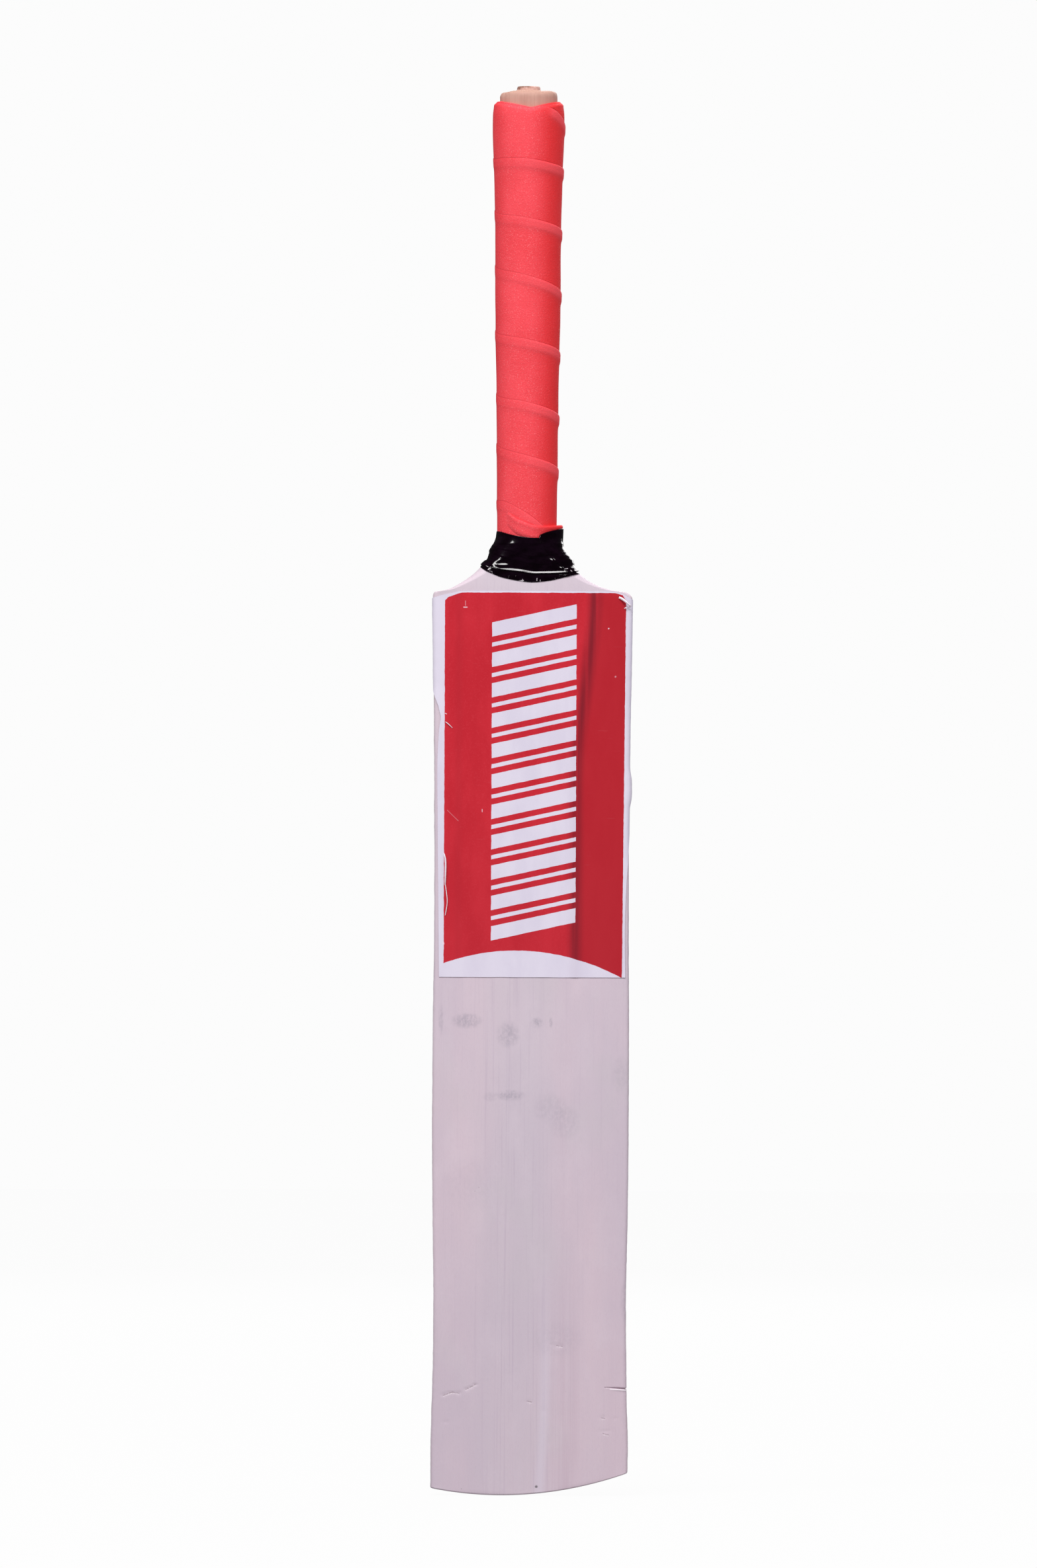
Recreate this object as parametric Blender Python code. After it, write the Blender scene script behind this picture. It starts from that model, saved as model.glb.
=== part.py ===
"""A youth cricket bat: a willow blade, a laminated cane handle spliced into it, and its bindings.

The handle is four cane slabs with rubber strips let into the joints between them. It is bound with
short lengths of twine, covered by a wound grip, and closed at the neck by black tape. A vinyl label
covers the upper half of the face and folds round both edges.

Metres. +Z runs up the handle and the striking face looks towards -Y. The origin lies under the
middle of the blade, at the height of the toe's lowest point.
"""

import math

import bmesh
import bpy
from mathutils import Vector

# Driving dimensions
OVERALL_LENGTH = 0.768
BLADE_LENGTH = 0.4885
BLADE_HALF_WIDTH = 0.0535
SPINE_DEPTH = 0.050
HANDLE_OFFSET_X = -0.0033
GRIP_BOTTOM = 0.5235
GRIP_TOP = 0.7585
LABEL_BOTTOM = 0.2822
LABEL_TOP = 0.4925

# Clearance kept between pieces that touch
GAP = 0.0003

# Blade: the face is flat in the middle and rolls off towards both edges
LABEL_THICKNESS = 0.00025
FACE_Y = (GAP + LABEL_THICKNESS - SPINE_DEPTH) / 2
FLAT_HALF_WIDTH = 0.030
FACE_ROLL_OFF = 0.0020
FACE_FALL_BACK = 0.0029
EDGE_RADIUS = 0.005
TOE_RADIUS = 0.004
TOE_LOW_X = -0.0156
TOE_CURVE = 2.55
TOE_FADE = 0.060

# Shoulders: a small round corner, then a hollow sweep up to the neck
CORNER_IN = 0.0032
CORNER_UP = 0.0037
SWEEP_START = BLADE_LENGTH + CORNER_UP
NECK_TOP = 0.522
NECK_HALF_WIDTH = 0.0172
NECK_RADIUS = 0.013
SWEEP_POWER = 1.7

# Handle, about its own upright axis
HANDLE_Y = FACE_Y + 0.0195
SPLICE_TIP_Z = 0.395
SPLICE_TIP_HALF_WIDTH = 0.0015
SPLICE_HALF_WIDTH = 0.0146
ROUND_FROM = 0.534
PIP_RADIUS = 0.0062
PIP_HEIGHT = 0.0026
PIP_FOOT = 0.0004
PIP_SHOULDER = 0.0020
HANDLE_END = OVERALL_LENGTH - PIP_HEIGHT
END_RADIUS = 0.0025
END_WORN_IN = 0.0007
END_WORN_DOWN = 0.0008
HANDLE_STATIONS = (0.555, 0.580, 0.610, 0.650, 0.690, 0.722, HANDLE_END - END_RADIUS)

# Rubber strips between the cane slabs
STRIP_PITCH = 0.0078
STRIP_THICKNESS = 0.0016
STRIP_TOP = 0.735

# Cutting shapes run past what they cut by this much, and are this far from front to back
CUTTER_REACH = 0.04
SPLICE_CUT_ABOVE = 0.010
SPLICE_CUT_DEPTH = 0.06

# Bindings
TWINE_PITCH = 0.0011
TWINE_THICKNESS = 0.0008
TWINE_TURNS = 8
TWINE_STARTS = (0.5345, 0.592, 0.665, 0.742)
GRIP_OPENS_TO = 0.5325
GRIP_CLOSES_FROM = 0.7535
GRIP_SLACK = 0.0001
TAPE_TOP = 0.5265
TAPE_LOW_CENTRE = 0.4972
TAPE_LOW_RISE = 0.0075
TAPE_STEP = 0.0045
TAPE_STEP_RUN = 0.0004
TAPE_THIN = 0.0004
TAPE_THICK = 0.0009
TAPE_TOP_THICK = 0.0013

# Mesh resolution
TOE_STEPS = 4
SPLICE_STEPS = 4
FACE_STEPS = 14
CORNER_STEPS = 3
ROUND_STEPS = 28
BODY_STATIONS = 18


def smoothstep(low, high, value):
    """0 below low, 1 above high, and an eased step between them."""
    t = min(1.0, max(0.0, (value - low) / (high - low)))
    return t * t * (3 - 2 * t)


def mix(a, b, share):
    return a + (b - a) * share


def steps(low, high, count):
    return [mix(low, high, k / count) for k in range(count + 1)]


def through(stops, height):
    """A smooth curve through (height, value) stops, level beyond the two ends."""
    if height <= stops[0][0]:
        return stops[0][1]
    if height >= stops[-1][0]:
        return stops[-1][1]
    i = max(k for k in range(len(stops) - 1) if stops[k][0] <= height)
    before, start, end, after = (
        stops[max(i - 1, 0)],
        stops[i],
        stops[i + 1],
        stops[min(i + 2, len(stops) - 1)],
    )
    span = end[0] - start[0]
    slope_in = (end[1] - before[1]) / (end[0] - before[0])
    slope_out = (after[1] - start[1]) / (after[0] - start[0])
    t = (height - start[0]) / span
    return (
        (2 * t**3 - 3 * t**2 + 1) * start[1]
        + (t**3 - 2 * t**2 + t) * span * slope_in
        + (3 * t**2 - 2 * t**3) * end[1]
        + (t**3 - t**2) * span * slope_out
    )


# Half width, edge depth and depth at the spine, from toe to neck
WIDTH_STOPS = (
    (0.000, BLADE_HALF_WIDTH),
    (0.022, BLADE_HALF_WIDTH + 0.0002),
    (0.094, BLADE_HALF_WIDTH - 0.0011),
    (0.200, BLADE_HALF_WIDTH),
    (0.368, BLADE_HALF_WIDTH - 0.0006),
    (BLADE_LENGTH, BLADE_HALF_WIDTH + 0.0008),
)
EDGE_STOPS = (
    (0.000, 0.019),
    (0.100, 0.024),
    (0.180, 0.027),
    (0.330, 0.024),
    (0.485, 0.021),
    (0.505, 0.028),
    (NECK_TOP, 0.0357),
)
SPINE_STOPS = (
    (0.000, 0.023),
    (0.060, 0.0335),
    (0.120, 0.0450),
    (0.172, SPINE_DEPTH),
    (0.240, 0.0470),
    (0.330, 0.0415),
    (0.440, 0.0365),
    (NECK_TOP, 0.0361),
)
CANE_WIDTH_STOPS = (
    (NECK_TOP, SPLICE_HALF_WIDTH),
    (0.534, 0.0140),
    (0.600, 0.0143),
    (0.700, 0.0148),
    (0.750, 0.0157),
)
CANE_DEPTH_STOPS = (
    (NECK_TOP, 0.0145),
    (0.600, 0.0145),
    (0.700, 0.0148),
    (0.750, 0.0157),
)
# Outer half width of the grip
GRIP_STOPS = (
    (GRIP_BOTTOM, 0.0166),
    (0.536, 0.0166),
    (0.600, 0.0171),
    (0.640, 0.0180),
    (0.700, 0.0182),
    (0.720, 0.0190),
    (0.738, 0.0200),
    (0.752, 0.0199),
    (GRIP_TOP, 0.0187),
)
GRIP_STATIONS = (
    *(GRIP_BOTTOM, 0.5285, GRIP_OPENS_TO, 0.5455, 0.560, 0.580, 0.600, 0.620, 0.640, 0.670),
    *(0.700, 0.712, 0.722, 0.731, 0.740, 0.7475, GRIP_CLOSES_FROM, 0.7560, GRIP_TOP),
)


def blade_centre(height):
    """The blade is centred on x = 0 up to the shoulders and on the handle's axis above them."""
    return HANDLE_OFFSET_X * smoothstep(BLADE_LENGTH, BLADE_LENGTH + 0.009, height)


def blade_half_width(height):
    if height <= BLADE_LENGTH:
        return through(WIDTH_STOPS, height)
    inner = WIDTH_STOPS[-1][1] - CORNER_IN
    if height <= SWEEP_START:
        rise = (height - BLADE_LENGTH) / CORNER_UP
        return inner + CORNER_IN * math.sqrt(1 - rise * rise)
    drop = min(1.0, max(0.0, (NECK_TOP - height) / (NECK_TOP - SWEEP_START)))
    bow = (1 - drop**SWEEP_POWER) ** (1 / SWEEP_POWER)
    return inner - (inner - NECK_HALF_WIDTH) * bow


def face_y(x, height):
    """The face at x from the blade's middle. It falls back a little towards the neck."""
    beyond = max(0.0, abs(x) - FLAT_HALF_WIDTH) / (BLADE_HALF_WIDTH - FLAT_HALF_WIDTH)
    fall = FACE_FALL_BACK * smoothstep(BLADE_LENGTH, NECK_TOP, height)
    return FACE_Y + FACE_ROLL_OFF * beyond**2 + fall


def back_y(x, height):
    """The back: a rounded spine that hollows out to the edges."""
    edge = through(EDGE_STOPS, height)
    spine = through(SPINE_STOPS, height)
    across = min(1.0, abs(x) / blade_half_width(height))
    return FACE_Y + edge + (spine - edge) * math.cos(math.pi / 2 * across) ** 2


def arc(x, y, radius, start, end):
    """Points of an arc about (x, y), in degrees, without its first and last point."""
    turns = [mix(start, end, k / CORNER_STEPS) for k in range(1, CORNER_STEPS)]
    return [
        (
            x + radius * math.cos(math.radians(a)),
            y + radius * math.sin(math.radians(a)),
        )
        for a in turns
    ]


def edge_radius(height):
    """The rounding of the blade's long edges, which grows to make the neck nearly round."""
    return mix(EDGE_RADIUS, NECK_RADIUS, smoothstep(BLADE_LENGTH, NECK_TOP, height))


def blade_walls(x, height):
    """Where the blade's front and back surfaces lie at x from its middle, rounded edges included."""
    radius = edge_radius(height)
    run = blade_half_width(height) - radius
    beyond = min(radius, max(0.0, abs(x) - run))
    bulge = radius - math.sqrt(radius**2 - beyond**2)
    inside = min(abs(x), run)
    return face_y(inside, height) + bulge, back_y(inside, height) - bulge


def blade_edge(height):
    """One edge of the blade's section, from face to back, at +x from the middle."""
    half = blade_half_width(height)
    radius = edge_radius(height)
    run = half - radius
    low = face_y(run, height) + radius
    high = back_y(run, height) - radius
    middle = [(half, mix(low, high, share)) for share in (0.0, 0.4, 1.0)]
    return (
        run,
        arc(run, low, radius, -90, 0) + middle + arc(run, high, radius, 0, 90),
    )


def blade_section(height):
    """The blade's outline at one height: face left to right, right edge, back, left edge."""
    run, edge = blade_edge(height)
    across = steps(-run, run, FACE_STEPS)
    outline = [(x, face_y(x, height)) for x in across]
    outline += edge
    outline += [(x, back_y(x, height)) for x in reversed(across)]
    outline += [(-x, y) for x, y in reversed(edge)]
    centre = blade_centre(height)
    return [(x + centre, y) for x, y in outline]


def shrunk(outline, inset, depth):
    """The outline moved in by inset, about the middle of the toe."""
    half = max(abs(x) for x, y in outline)
    middle = FACE_Y + depth / 2
    return [
        (
            x * (half - inset) / half,
            middle + (y - middle) * (depth / 2 - inset) / (depth / 2),
        )
        for x, y in outline
    ]


def toe_rise(x, height):
    """How far the toe's shallow curve lifts a point, fading out up the blade."""
    fade = max(0.0, 1 - height / TOE_FADE) ** 2
    return TOE_CURVE * (x - TOE_LOW_X) ** 2 * fade


def offset(outline, distance):
    """The closed outline moved outwards by distance."""
    moved = []
    count = len(outline)
    for k, (x, y) in enumerate(outline):
        before = Vector(outline[k - 1])
        after = Vector(outline[(k + 1) % count])
        along = (after - before).normalized()
        moved.append((x + along.y * distance, y - along.x * distance))
    return moved


def handle_section(height):
    """The handle's outline about its own axis: square in the splice, oval above it."""
    splice = min(height, NECK_TOP)
    share = (splice - SPLICE_TIP_Z) / (NECK_TOP - SPLICE_TIP_Z)
    wedge = mix(SPLICE_TIP_HALF_WIDTH, SPLICE_HALF_WIDTH, share)
    half_width = through(CANE_WIDTH_STOPS, height)
    half_depth = through(CANE_DEPTH_STOPS, height)
    roundness = smoothstep(NECK_TOP, ROUND_FROM, height)
    from_middle = HANDLE_OFFSET_X - blade_centre(splice)
    outline = []
    for k in range(ROUND_STEPS):
        turn = 2 * math.pi * (k + 0.5) / ROUND_STEPS
        c, s = math.cos(turn), math.sin(turn)
        stretch = 1 / max(abs(c), abs(s))
        x = wedge * c * stretch
        face, back = blade_walls(x + from_middle, splice)
        y = mix(face, back, (s * stretch + 1) / 2) - HANDLE_Y
        outline.append((mix(x, half_width * c, roundness), mix(y, half_depth * s, roundness)))
    return outline


def oval(half_width, half_depth):
    turns = [2 * math.pi * (k + 0.5) / ROUND_STEPS for k in range(ROUND_STEPS)]
    return [(half_width * math.cos(a), half_depth * math.sin(a)) for a in turns]


def around_cane(height, grow):
    """The oval that lies grow outside the bare cane."""
    return oval(
        through(CANE_WIDTH_STOPS, height) + grow,
        through(CANE_DEPTH_STOPS, height) + grow,
    )


def raised(outline, height):
    return [Vector((x, y, height)) for x, y in outline]


def finish_mesh(name, rows_mesh, material, parent=None, sharp_degrees=40):
    """Turns a bmesh into a named, shaded object."""
    bmesh.ops.recalc_face_normals(rows_mesh, faces=rows_mesh.faces)
    mesh = bpy.data.meshes.new(name)
    rows_mesh.to_mesh(mesh)
    rows_mesh.free()
    mesh.materials.append(material)
    mesh.shade_smooth()
    mesh.set_sharp_from_angle(angle=math.radians(sharp_degrees))
    piece = bpy.data.objects.new(name, mesh)
    bpy.context.scene.collection.objects.link(piece)
    piece.parent = parent
    return piece


def loft(name, rows, material, parent=None, curved_start=False):
    """A closed body through rows of points that go round the same way, capped at both ends."""
    body = bmesh.new()
    rings = [[body.verts.new(p) for p in row] for row in rows]
    count = len(rows[0])
    for low, high in zip(rings, rings[1:]):
        for k in range(count):
            after = (k + 1) % count
            body.faces.new((low[k], low[after], high[after], high[k]))
    if curved_start:
        strip_cap(body, rings[0])
    else:
        body.faces.new(rings[0])
    body.faces.new(rings[-1])
    return finish_mesh(name, body, material, parent)


def strip_cap(body, ring):
    """Closes a blade section that isn't level: strips from face to back, and a face at each edge."""
    edge_points = (len(ring) - 2 * (FACE_STEPS + 1)) // 2
    opposite = 2 * FACE_STEPS + 1 + edge_points
    for k in range(FACE_STEPS):
        body.faces.new([ring[i] for i in (k, k + 1, opposite - k - 1, opposite - k)])
    body.faces.new(ring[FACE_STEPS : FACE_STEPS + edge_points + 2])
    body.faces.new([*ring[opposite:], ring[0]])


def skin(name, outer, inner, material, parent=None, wraps=True):
    """A wall between two grids of points. A wall that wraps is a sleeve, and one that doesn't a sheet."""
    body = bmesh.new()
    shell = [[body.verts.new(p) for p in row] for row in outer]
    lining = [[body.verts.new(p) for p in row] for row in inner]
    count = len(outer[0])
    columns = range(count if wraps else count - 1)
    for i in range(len(outer) - 1):
        for k in columns:
            after = (k + 1) % count
            body.faces.new(
                (shell[i][k], shell[i][after], shell[i + 1][after], shell[i + 1][k])
            )
            body.faces.new(
                (lining[i][after], lining[i][k], lining[i + 1][k], lining[i + 1][after])
            )
        if not wraps:
            for k in (0, count - 1):
                body.faces.new(
                    (shell[i][k], shell[i + 1][k], lining[i + 1][k], lining[i][k])
                )
    for i in (0, len(outer) - 1):
        for k in columns:
            after = (k + 1) % count
            body.faces.new((shell[i][k], shell[i][after], lining[i][after], lining[i][k]))
    return finish_mesh(name, body, material, parent)


def slab_cutter(name, profile, parent):
    """An upright slab through the whole handle, from its (y, z) profile. It only cuts."""
    rows = [[Vector((x, y, z)) for y, z in profile] for x in (-CUTTER_REACH, CUTTER_REACH)]
    return make_cutter(name, rows, parent)


def make_cutter(name, rows, parent):
    """A body that shapes others and isn't a piece of the bat."""
    piece = loft(name, rows, material("cutter", (0.5, 0.5, 0.5), 1.0), parent)
    piece.hide_render = True
    piece.display_type = "WIRE"
    return piece


def boolean(piece, operation, cutter):
    cut = piece.modifiers.new(operation.lower(), "BOOLEAN")
    cut.operation = operation
    cut.solver = "EXACT"
    cut.object = cutter


def material(name, colour, roughness, metallic=0.0):
    """A Principled material, made once for each name."""
    made = bpy.data.materials.get(name) or bpy.data.materials.new(name)
    made.use_nodes = True
    shader = made.node_tree.nodes["Principled BSDF"]
    shader.inputs["Base Color"].default_value = (*colour, 1.0)
    shader.inputs["Roughness"].default_value = roughness
    shader.inputs["Metallic"].default_value = metallic
    return made


def blade_heights(low, high):
    """Stations of the blade's loft between two heights, close together round the shoulders."""
    body = steps(TOE_RADIUS, BLADE_LENGTH, BODY_STATIONS)
    corner = [BLADE_LENGTH + CORNER_UP * share for share in (0.5, 0.85, 1.0)]
    hollow = [
        mix(NECK_TOP, SWEEP_START, share)
        for share in (0.97, 0.92, 0.85, 0.76, 0.66, 0.55, 0.42, 0.30, 0.18, 0.08, 0.0)
    ]
    label_ends = [LABEL_BOTTOM, LABEL_TOP]
    return sorted(z for z in body + corner + hollow + label_ends if low <= z <= high)


def make_blade(handle_axis):
    """The willow blade, open along a V where the handle is spliced in."""
    rows = []
    depth = through(EDGE_STOPS, 0.0)
    for k in range(TOE_STEPS):
        turn = math.pi / 2 * k / TOE_STEPS
        inset = TOE_RADIUS * (1 - math.sin(turn))
        rise = TOE_RADIUS * (1 - math.cos(turn))
        outline = shrunk(blade_section(rise), inset, depth)
        rows.append([Vector((x, y, rise + toe_rise(x, rise))) for x, y in outline])
    for z in blade_heights(0.0, NECK_TOP):
        rows.append([Vector((x, y, z + toe_rise(x, z))) for x, y in blade_section(z)])
    willow = material("willow", (0.66, 0.55, 0.60), 0.55)
    blade = loft("blade", rows, willow, curved_start=True)
    boolean(blade, "DIFFERENCE", make_splice_cutter(handle_axis))
    return blade


def make_splice_cutter(handle_axis):
    """The V that is sawn out of the blade: the handle's wedge with the gap all round."""
    slope = (SPLICE_HALF_WIDTH - SPLICE_TIP_HALF_WIDTH) / (NECK_TOP - SPLICE_TIP_Z)
    tip = SPLICE_TIP_HALF_WIDTH + GAP
    top = SPLICE_HALF_WIDTH + GAP + slope * SPLICE_CUT_ABOVE
    deep = SPLICE_CUT_DEPTH
    rows = []
    for half, z in ((tip, SPLICE_TIP_Z - GAP), (top, NECK_TOP + SPLICE_CUT_ABOVE)):
        corners = ((-half, -deep), (half, -deep), (half, deep), (-half, deep))
        rows.append(raised(corners, z))
    return make_cutter("splice_cutter", rows, handle_axis)


def handle_rows():
    """Sections of the whole handle, from the splice's tip to the pip turned on its end."""
    heights = steps(SPLICE_TIP_Z, BLADE_LENGTH, SPLICE_STEPS)
    heights += blade_heights(BLADE_LENGTH + 0.001, NECK_TOP - 0.001)
    heights += steps(NECK_TOP, ROUND_FROM, SPLICE_STEPS)
    heights += HANDLE_STATIONS
    rows = [raised(handle_section(z), z) for z in heights]
    half = CANE_WIDTH_STOPS[-1][1]
    for inset, drop in ((END_WORN_IN, END_WORN_DOWN), (END_RADIUS, 0.0)):
        rows.append(raised(oval(half - inset, half - inset), HANDLE_END - drop))
    for radius, rise in (
        (PIP_RADIUS, PIP_FOOT),
        (PIP_RADIUS - 0.0003, PIP_SHOULDER),
        (PIP_RADIUS - 0.0016, PIP_HEIGHT),
    ):
        rows.append(raised(oval(radius, radius), HANDLE_END + rise))
    return rows


def make_handle(handle_axis):
    """Cane slabs that meet along upright planes, with a rubber strip let into each joint."""
    cane = material("cane", (0.62, 0.40, 0.31), 0.60)
    rubber = material("rubber", (0.03, 0.03, 0.03), 0.80)
    rows = handle_rows()
    low, high = SPLICE_TIP_Z - CUTTER_REACH, OVERALL_LENGTH + CUTTER_REACH
    half = STRIP_THICKNESS / 2
    joints = [(k - 1) * STRIP_PITCH for k in range(3)]
    for side, joint in zip(("front", "middle", "back"), joints):
        strip = loft(f"rubber_strip_{side}", rows, rubber, handle_axis)
        profile = (
            (joint - half, low),
            (joint + half, low),
            (joint + half, STRIP_TOP),
            (joint - half, STRIP_TOP),
        )
        cutter = slab_cutter(f"strip_cutter_{side}", profile, handle_axis)
        boolean(strip, "INTERSECT", cutter)
    planes = [-CUTTER_REACH, *joints, CUTTER_REACH]
    names = ("front", "front_middle", "back_middle", "back")
    for side, near, far in zip(names, planes, planes[1:]):
        slab = loft(f"handle_cane_{side}", rows, cane, handle_axis)
        kerf = half + GAP
        end = STRIP_TOP + GAP
        profile = (
            (near + kerf, low),
            (far - kerf, low),
            (far - kerf, end),
            (far - GAP / 2, end),
            (far - GAP / 2, high),
            (near + GAP / 2, high),
            (near + GAP / 2, end),
            (near + kerf, end),
        )
        cutter = slab_cutter(f"cane_cutter_{side}", profile, handle_axis)
        boolean(slab, "INTERSECT", cutter)


def make_twine(handle_axis):
    """Four bindings of waxed twine on the cane. Each turn shows as a ridge."""
    twine = material("twine", (0.62, 0.55, 0.42), 0.80)
    for number, start in enumerate(TWINE_STARTS, 1):
        outer = []
        for k in range(2 * TWINE_TURNS + 1):
            z = start + k * TWINE_PITCH / 2
            wall = TWINE_THICKNESS * (1.0 if k % 2 else 0.5)
            outer.append(raised(around_cane(z, GAP + wall), z))
        end = start + TWINE_TURNS * TWINE_PITCH
        inner = [raised(around_cane(z, GAP), z) for z in steps(start, end, 2 * TWINE_TURNS)]
        skin(f"twine_binding_{number}", outer, inner, twine, handle_axis)


def make_grip(handle_axis):
    """The wound grip as one sleeve. It closes in on the bare cane at both ends."""
    over_twine = 2 * GAP + TWINE_THICKNESS + GRIP_SLACK
    outer, inner = [], []
    for z in GRIP_STATIONS:
        stand_off = through(GRIP_STOPS, z) - through(CANE_WIDTH_STOPS, z)
        opened = smoothstep(GRIP_BOTTOM, GRIP_OPENS_TO, z) - smoothstep(GRIP_CLOSES_FROM, GRIP_TOP, z)
        outer.append(raised(around_cane(z, stand_off), z))
        inner.append(raised(offset(handle_section(z), mix(GAP, over_twine, opened)), z))
    red = material("grip_tape", (0.90, 0.11, 0.14), 0.70)
    skin("grip_tape", outer, inner, red, handle_axis)


def neck_row(rise, share, out):
    """A row round the neck: rise above the tape's lower edge, then share of the rest of its height."""
    neck = blade_section(NECK_TOP)
    sections = {}
    row = []
    for k, (neck_x, _) in enumerate(neck):
        across = abs(neck_x - HANDLE_OFFSET_X) / NECK_HALF_WIDTH
        low = TAPE_LOW_CENTRE + TAPE_LOW_RISE * min(1.0, across) ** 1.5
        z = mix(low + rise, TAPE_TOP, share)
        level = round(min(z, NECK_TOP), 6)
        if level not in sections:
            sections[level] = offset(blade_section(level), out)
        x, y = sections[level][k]
        row.append(Vector((x, y, z)))
    return row


def make_neck_tape():
    """Black tape wound round the neck: a lower turn that shows as a step, and thicker turns above."""
    clear = 2 * GAP
    above = TAPE_STEP + TAPE_STEP_RUN
    turns = [(0.0, 0.0, TAPE_THIN), (TAPE_STEP, 0.0, TAPE_THIN)]
    turns += [(above, share, TAPE_THICK) for share in (0.0, 0.2, 0.4, 0.6)]
    turns += [(above, share, TAPE_TOP_THICK) for share in (0.8, 1.0)]
    outer = [neck_row(rise, share, clear + thick) for rise, share, thick in turns]
    inner = [neck_row(rise, share, clear) for rise, share, _ in turns]
    skin("neck_tape", outer, inner, material("neck_tape", (0.006, 0.002, 0.005), 0.25))


def label_row(height, out):
    """The label's line at one height: up from the left edge, over the face, down the right edge."""
    outline = offset(blade_section(height), out)
    edge_points = CORNER_STEPS + 1
    right = outline[: FACE_STEPS + 1 + edge_points]
    left = outline[-edge_points:]
    return raised(left + right, height)


def make_label():
    """The printed vinyl label, laid over the face and folded round both edges."""
    heights = blade_heights(LABEL_BOTTOM, LABEL_TOP)
    outer = [label_row(z, GAP + LABEL_THICKNESS) for z in heights]
    inner = [label_row(z, GAP) for z in heights]
    red = material("label", (0.52, 0.03, 0.05), 0.35)
    skin("face_label", outer, inner, red, wraps=False)


def main():
    for old in list(bpy.data.objects):
        bpy.data.objects.remove(old)
    handle_axis = bpy.data.objects.new("handle_axis", None)
    handle_axis.location = (HANDLE_OFFSET_X, HANDLE_Y, 0.0)
    bpy.context.scene.collection.objects.link(handle_axis)
    make_blade(handle_axis)
    make_handle(handle_axis)
    make_twine(handle_axis)
    make_grip(handle_axis)
    make_neck_tape()
    make_label()


main()
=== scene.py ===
from math import atan2, ceil, copysign, cos, exp, hypot, pi, radians, sin, sqrt

import bmesh
import bpy
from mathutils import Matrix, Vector, noise


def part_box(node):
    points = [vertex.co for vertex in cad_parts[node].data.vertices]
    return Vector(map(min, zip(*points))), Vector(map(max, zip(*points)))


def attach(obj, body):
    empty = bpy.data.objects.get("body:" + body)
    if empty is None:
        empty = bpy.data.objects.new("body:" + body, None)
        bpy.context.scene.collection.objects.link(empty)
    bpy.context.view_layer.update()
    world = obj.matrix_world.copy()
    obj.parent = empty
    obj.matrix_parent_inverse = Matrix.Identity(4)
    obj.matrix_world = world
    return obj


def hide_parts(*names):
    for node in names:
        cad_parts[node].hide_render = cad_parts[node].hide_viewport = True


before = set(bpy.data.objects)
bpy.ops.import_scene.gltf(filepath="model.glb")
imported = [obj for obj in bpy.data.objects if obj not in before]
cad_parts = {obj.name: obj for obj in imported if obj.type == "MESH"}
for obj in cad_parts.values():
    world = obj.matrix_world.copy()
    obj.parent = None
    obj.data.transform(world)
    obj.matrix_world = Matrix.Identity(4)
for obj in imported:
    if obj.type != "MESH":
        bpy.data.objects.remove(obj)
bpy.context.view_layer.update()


def edge_of(node, corner, axis):
    """One side of a CAD node's box: corner 0 is the lowest, 1 the highest; axis 0 to 2 is x to z."""
    return round(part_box(node)[corner][axis], 6)


# The looks of a youth cricket bat: whitewashed willow, a worn printed label, black vinyl tape round
# the neck, a wound coral grip, and the end of the cane handle above it. Metres, in the CAD frame:
# +Z up the handle, and the striking face towards -Y.

# Shapes shared with the CAD model. Its edges and toe are rounder, for a lighter mesh.
# A table called STOPS, EDGE or BULGE holds (place, value) pairs for through() or straight().
OVERALL_LENGTH = edge_of("handle_cane_front_middle", 1, 2)
BLADE_LENGTH = 0.4885
BLADE_HALF_WIDTH = 0.0535
HANDLE_OFFSET_X = round(sum(edge_of("handle_cane_front", end, 0) for end in (0, 1)) / 2, 6)
LABEL_BOTTOM = edge_of("face_label", 0, 2)
LABEL_TOP = edge_of("face_label", 1, 2)
FACE_Y = edge_of("blade", 0, 1)
FLAT_HALF_WIDTH = 0.03
FACE_ROLL_OFF = 0.002
FACE_FALL_BACK = 0.0029
EDGE_RADIUS = 0.0022
TOE_RADIUS = 0.001
TOE_LOW_X = -0.0156
TOE_CURVE = 2.55
TOE_FADE = 0.06
CORNER_IN = 0.0032
CORNER_UP = 0.0037
SWEEP_START = BLADE_LENGTH + CORNER_UP
NECK_TOP = edge_of("blade", 1, 2)
NECK_HALF_WIDTH = 0.0172
NECK_RADIUS = 0.013
SWEEP_POWER = 1.7
HANDLE_Y = FACE_Y + 0.0195
SPLICE_TIP_Z = edge_of("handle_cane_front", 0, 2)
SPLICE_TIP_HALF_WIDTH = 0.0015
SPLICE_HALF_WIDTH = 0.0146
ROUND_FROM = 0.534
HANDLE_END = OVERALL_LENGTH - 0.0026
PIP_RADIUS = 0.0064
STRIP_PITCH = 0.0078
STRIP_THICKNESS = 0.0016
STRIP_TOP = edge_of("rubber_strip_front", 1, 2)
STRIP_CLEARANCE = 0.0003
JOINT = 0.00005
WASH_SKIN = 0.0006  # the willow left in front of the splice
PAST_BACK_Y = 0.06
HIDDEN_NECK = 0.5205  # where the visual neck ends, under the tape
HIDDEN_STEP_IN = 0.0012  # and how far it is drawn in there
WIDTH_STOPS = (
    (0.0, 0.0535), (0.022, 0.0537), (0.094, 0.0524), (0.2, 0.0535), (0.368, 0.0529),
    (BLADE_LENGTH, 0.0543),
)
EDGE_STOPS = (
    (0.0, 0.019), (0.1, 0.024), (0.18, 0.027), (0.33, 0.024), (0.485, 0.021), (0.505, 0.028),
    (NECK_TOP, 0.0357),
)
SPINE_STOPS = (
    (0.0, 0.023), (0.06, 0.0335), (0.12, 0.045), (0.172, 0.05), (0.24, 0.047), (0.33, 0.0415),
    (0.44, 0.0365), (NECK_TOP, 0.0361),
)
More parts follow.
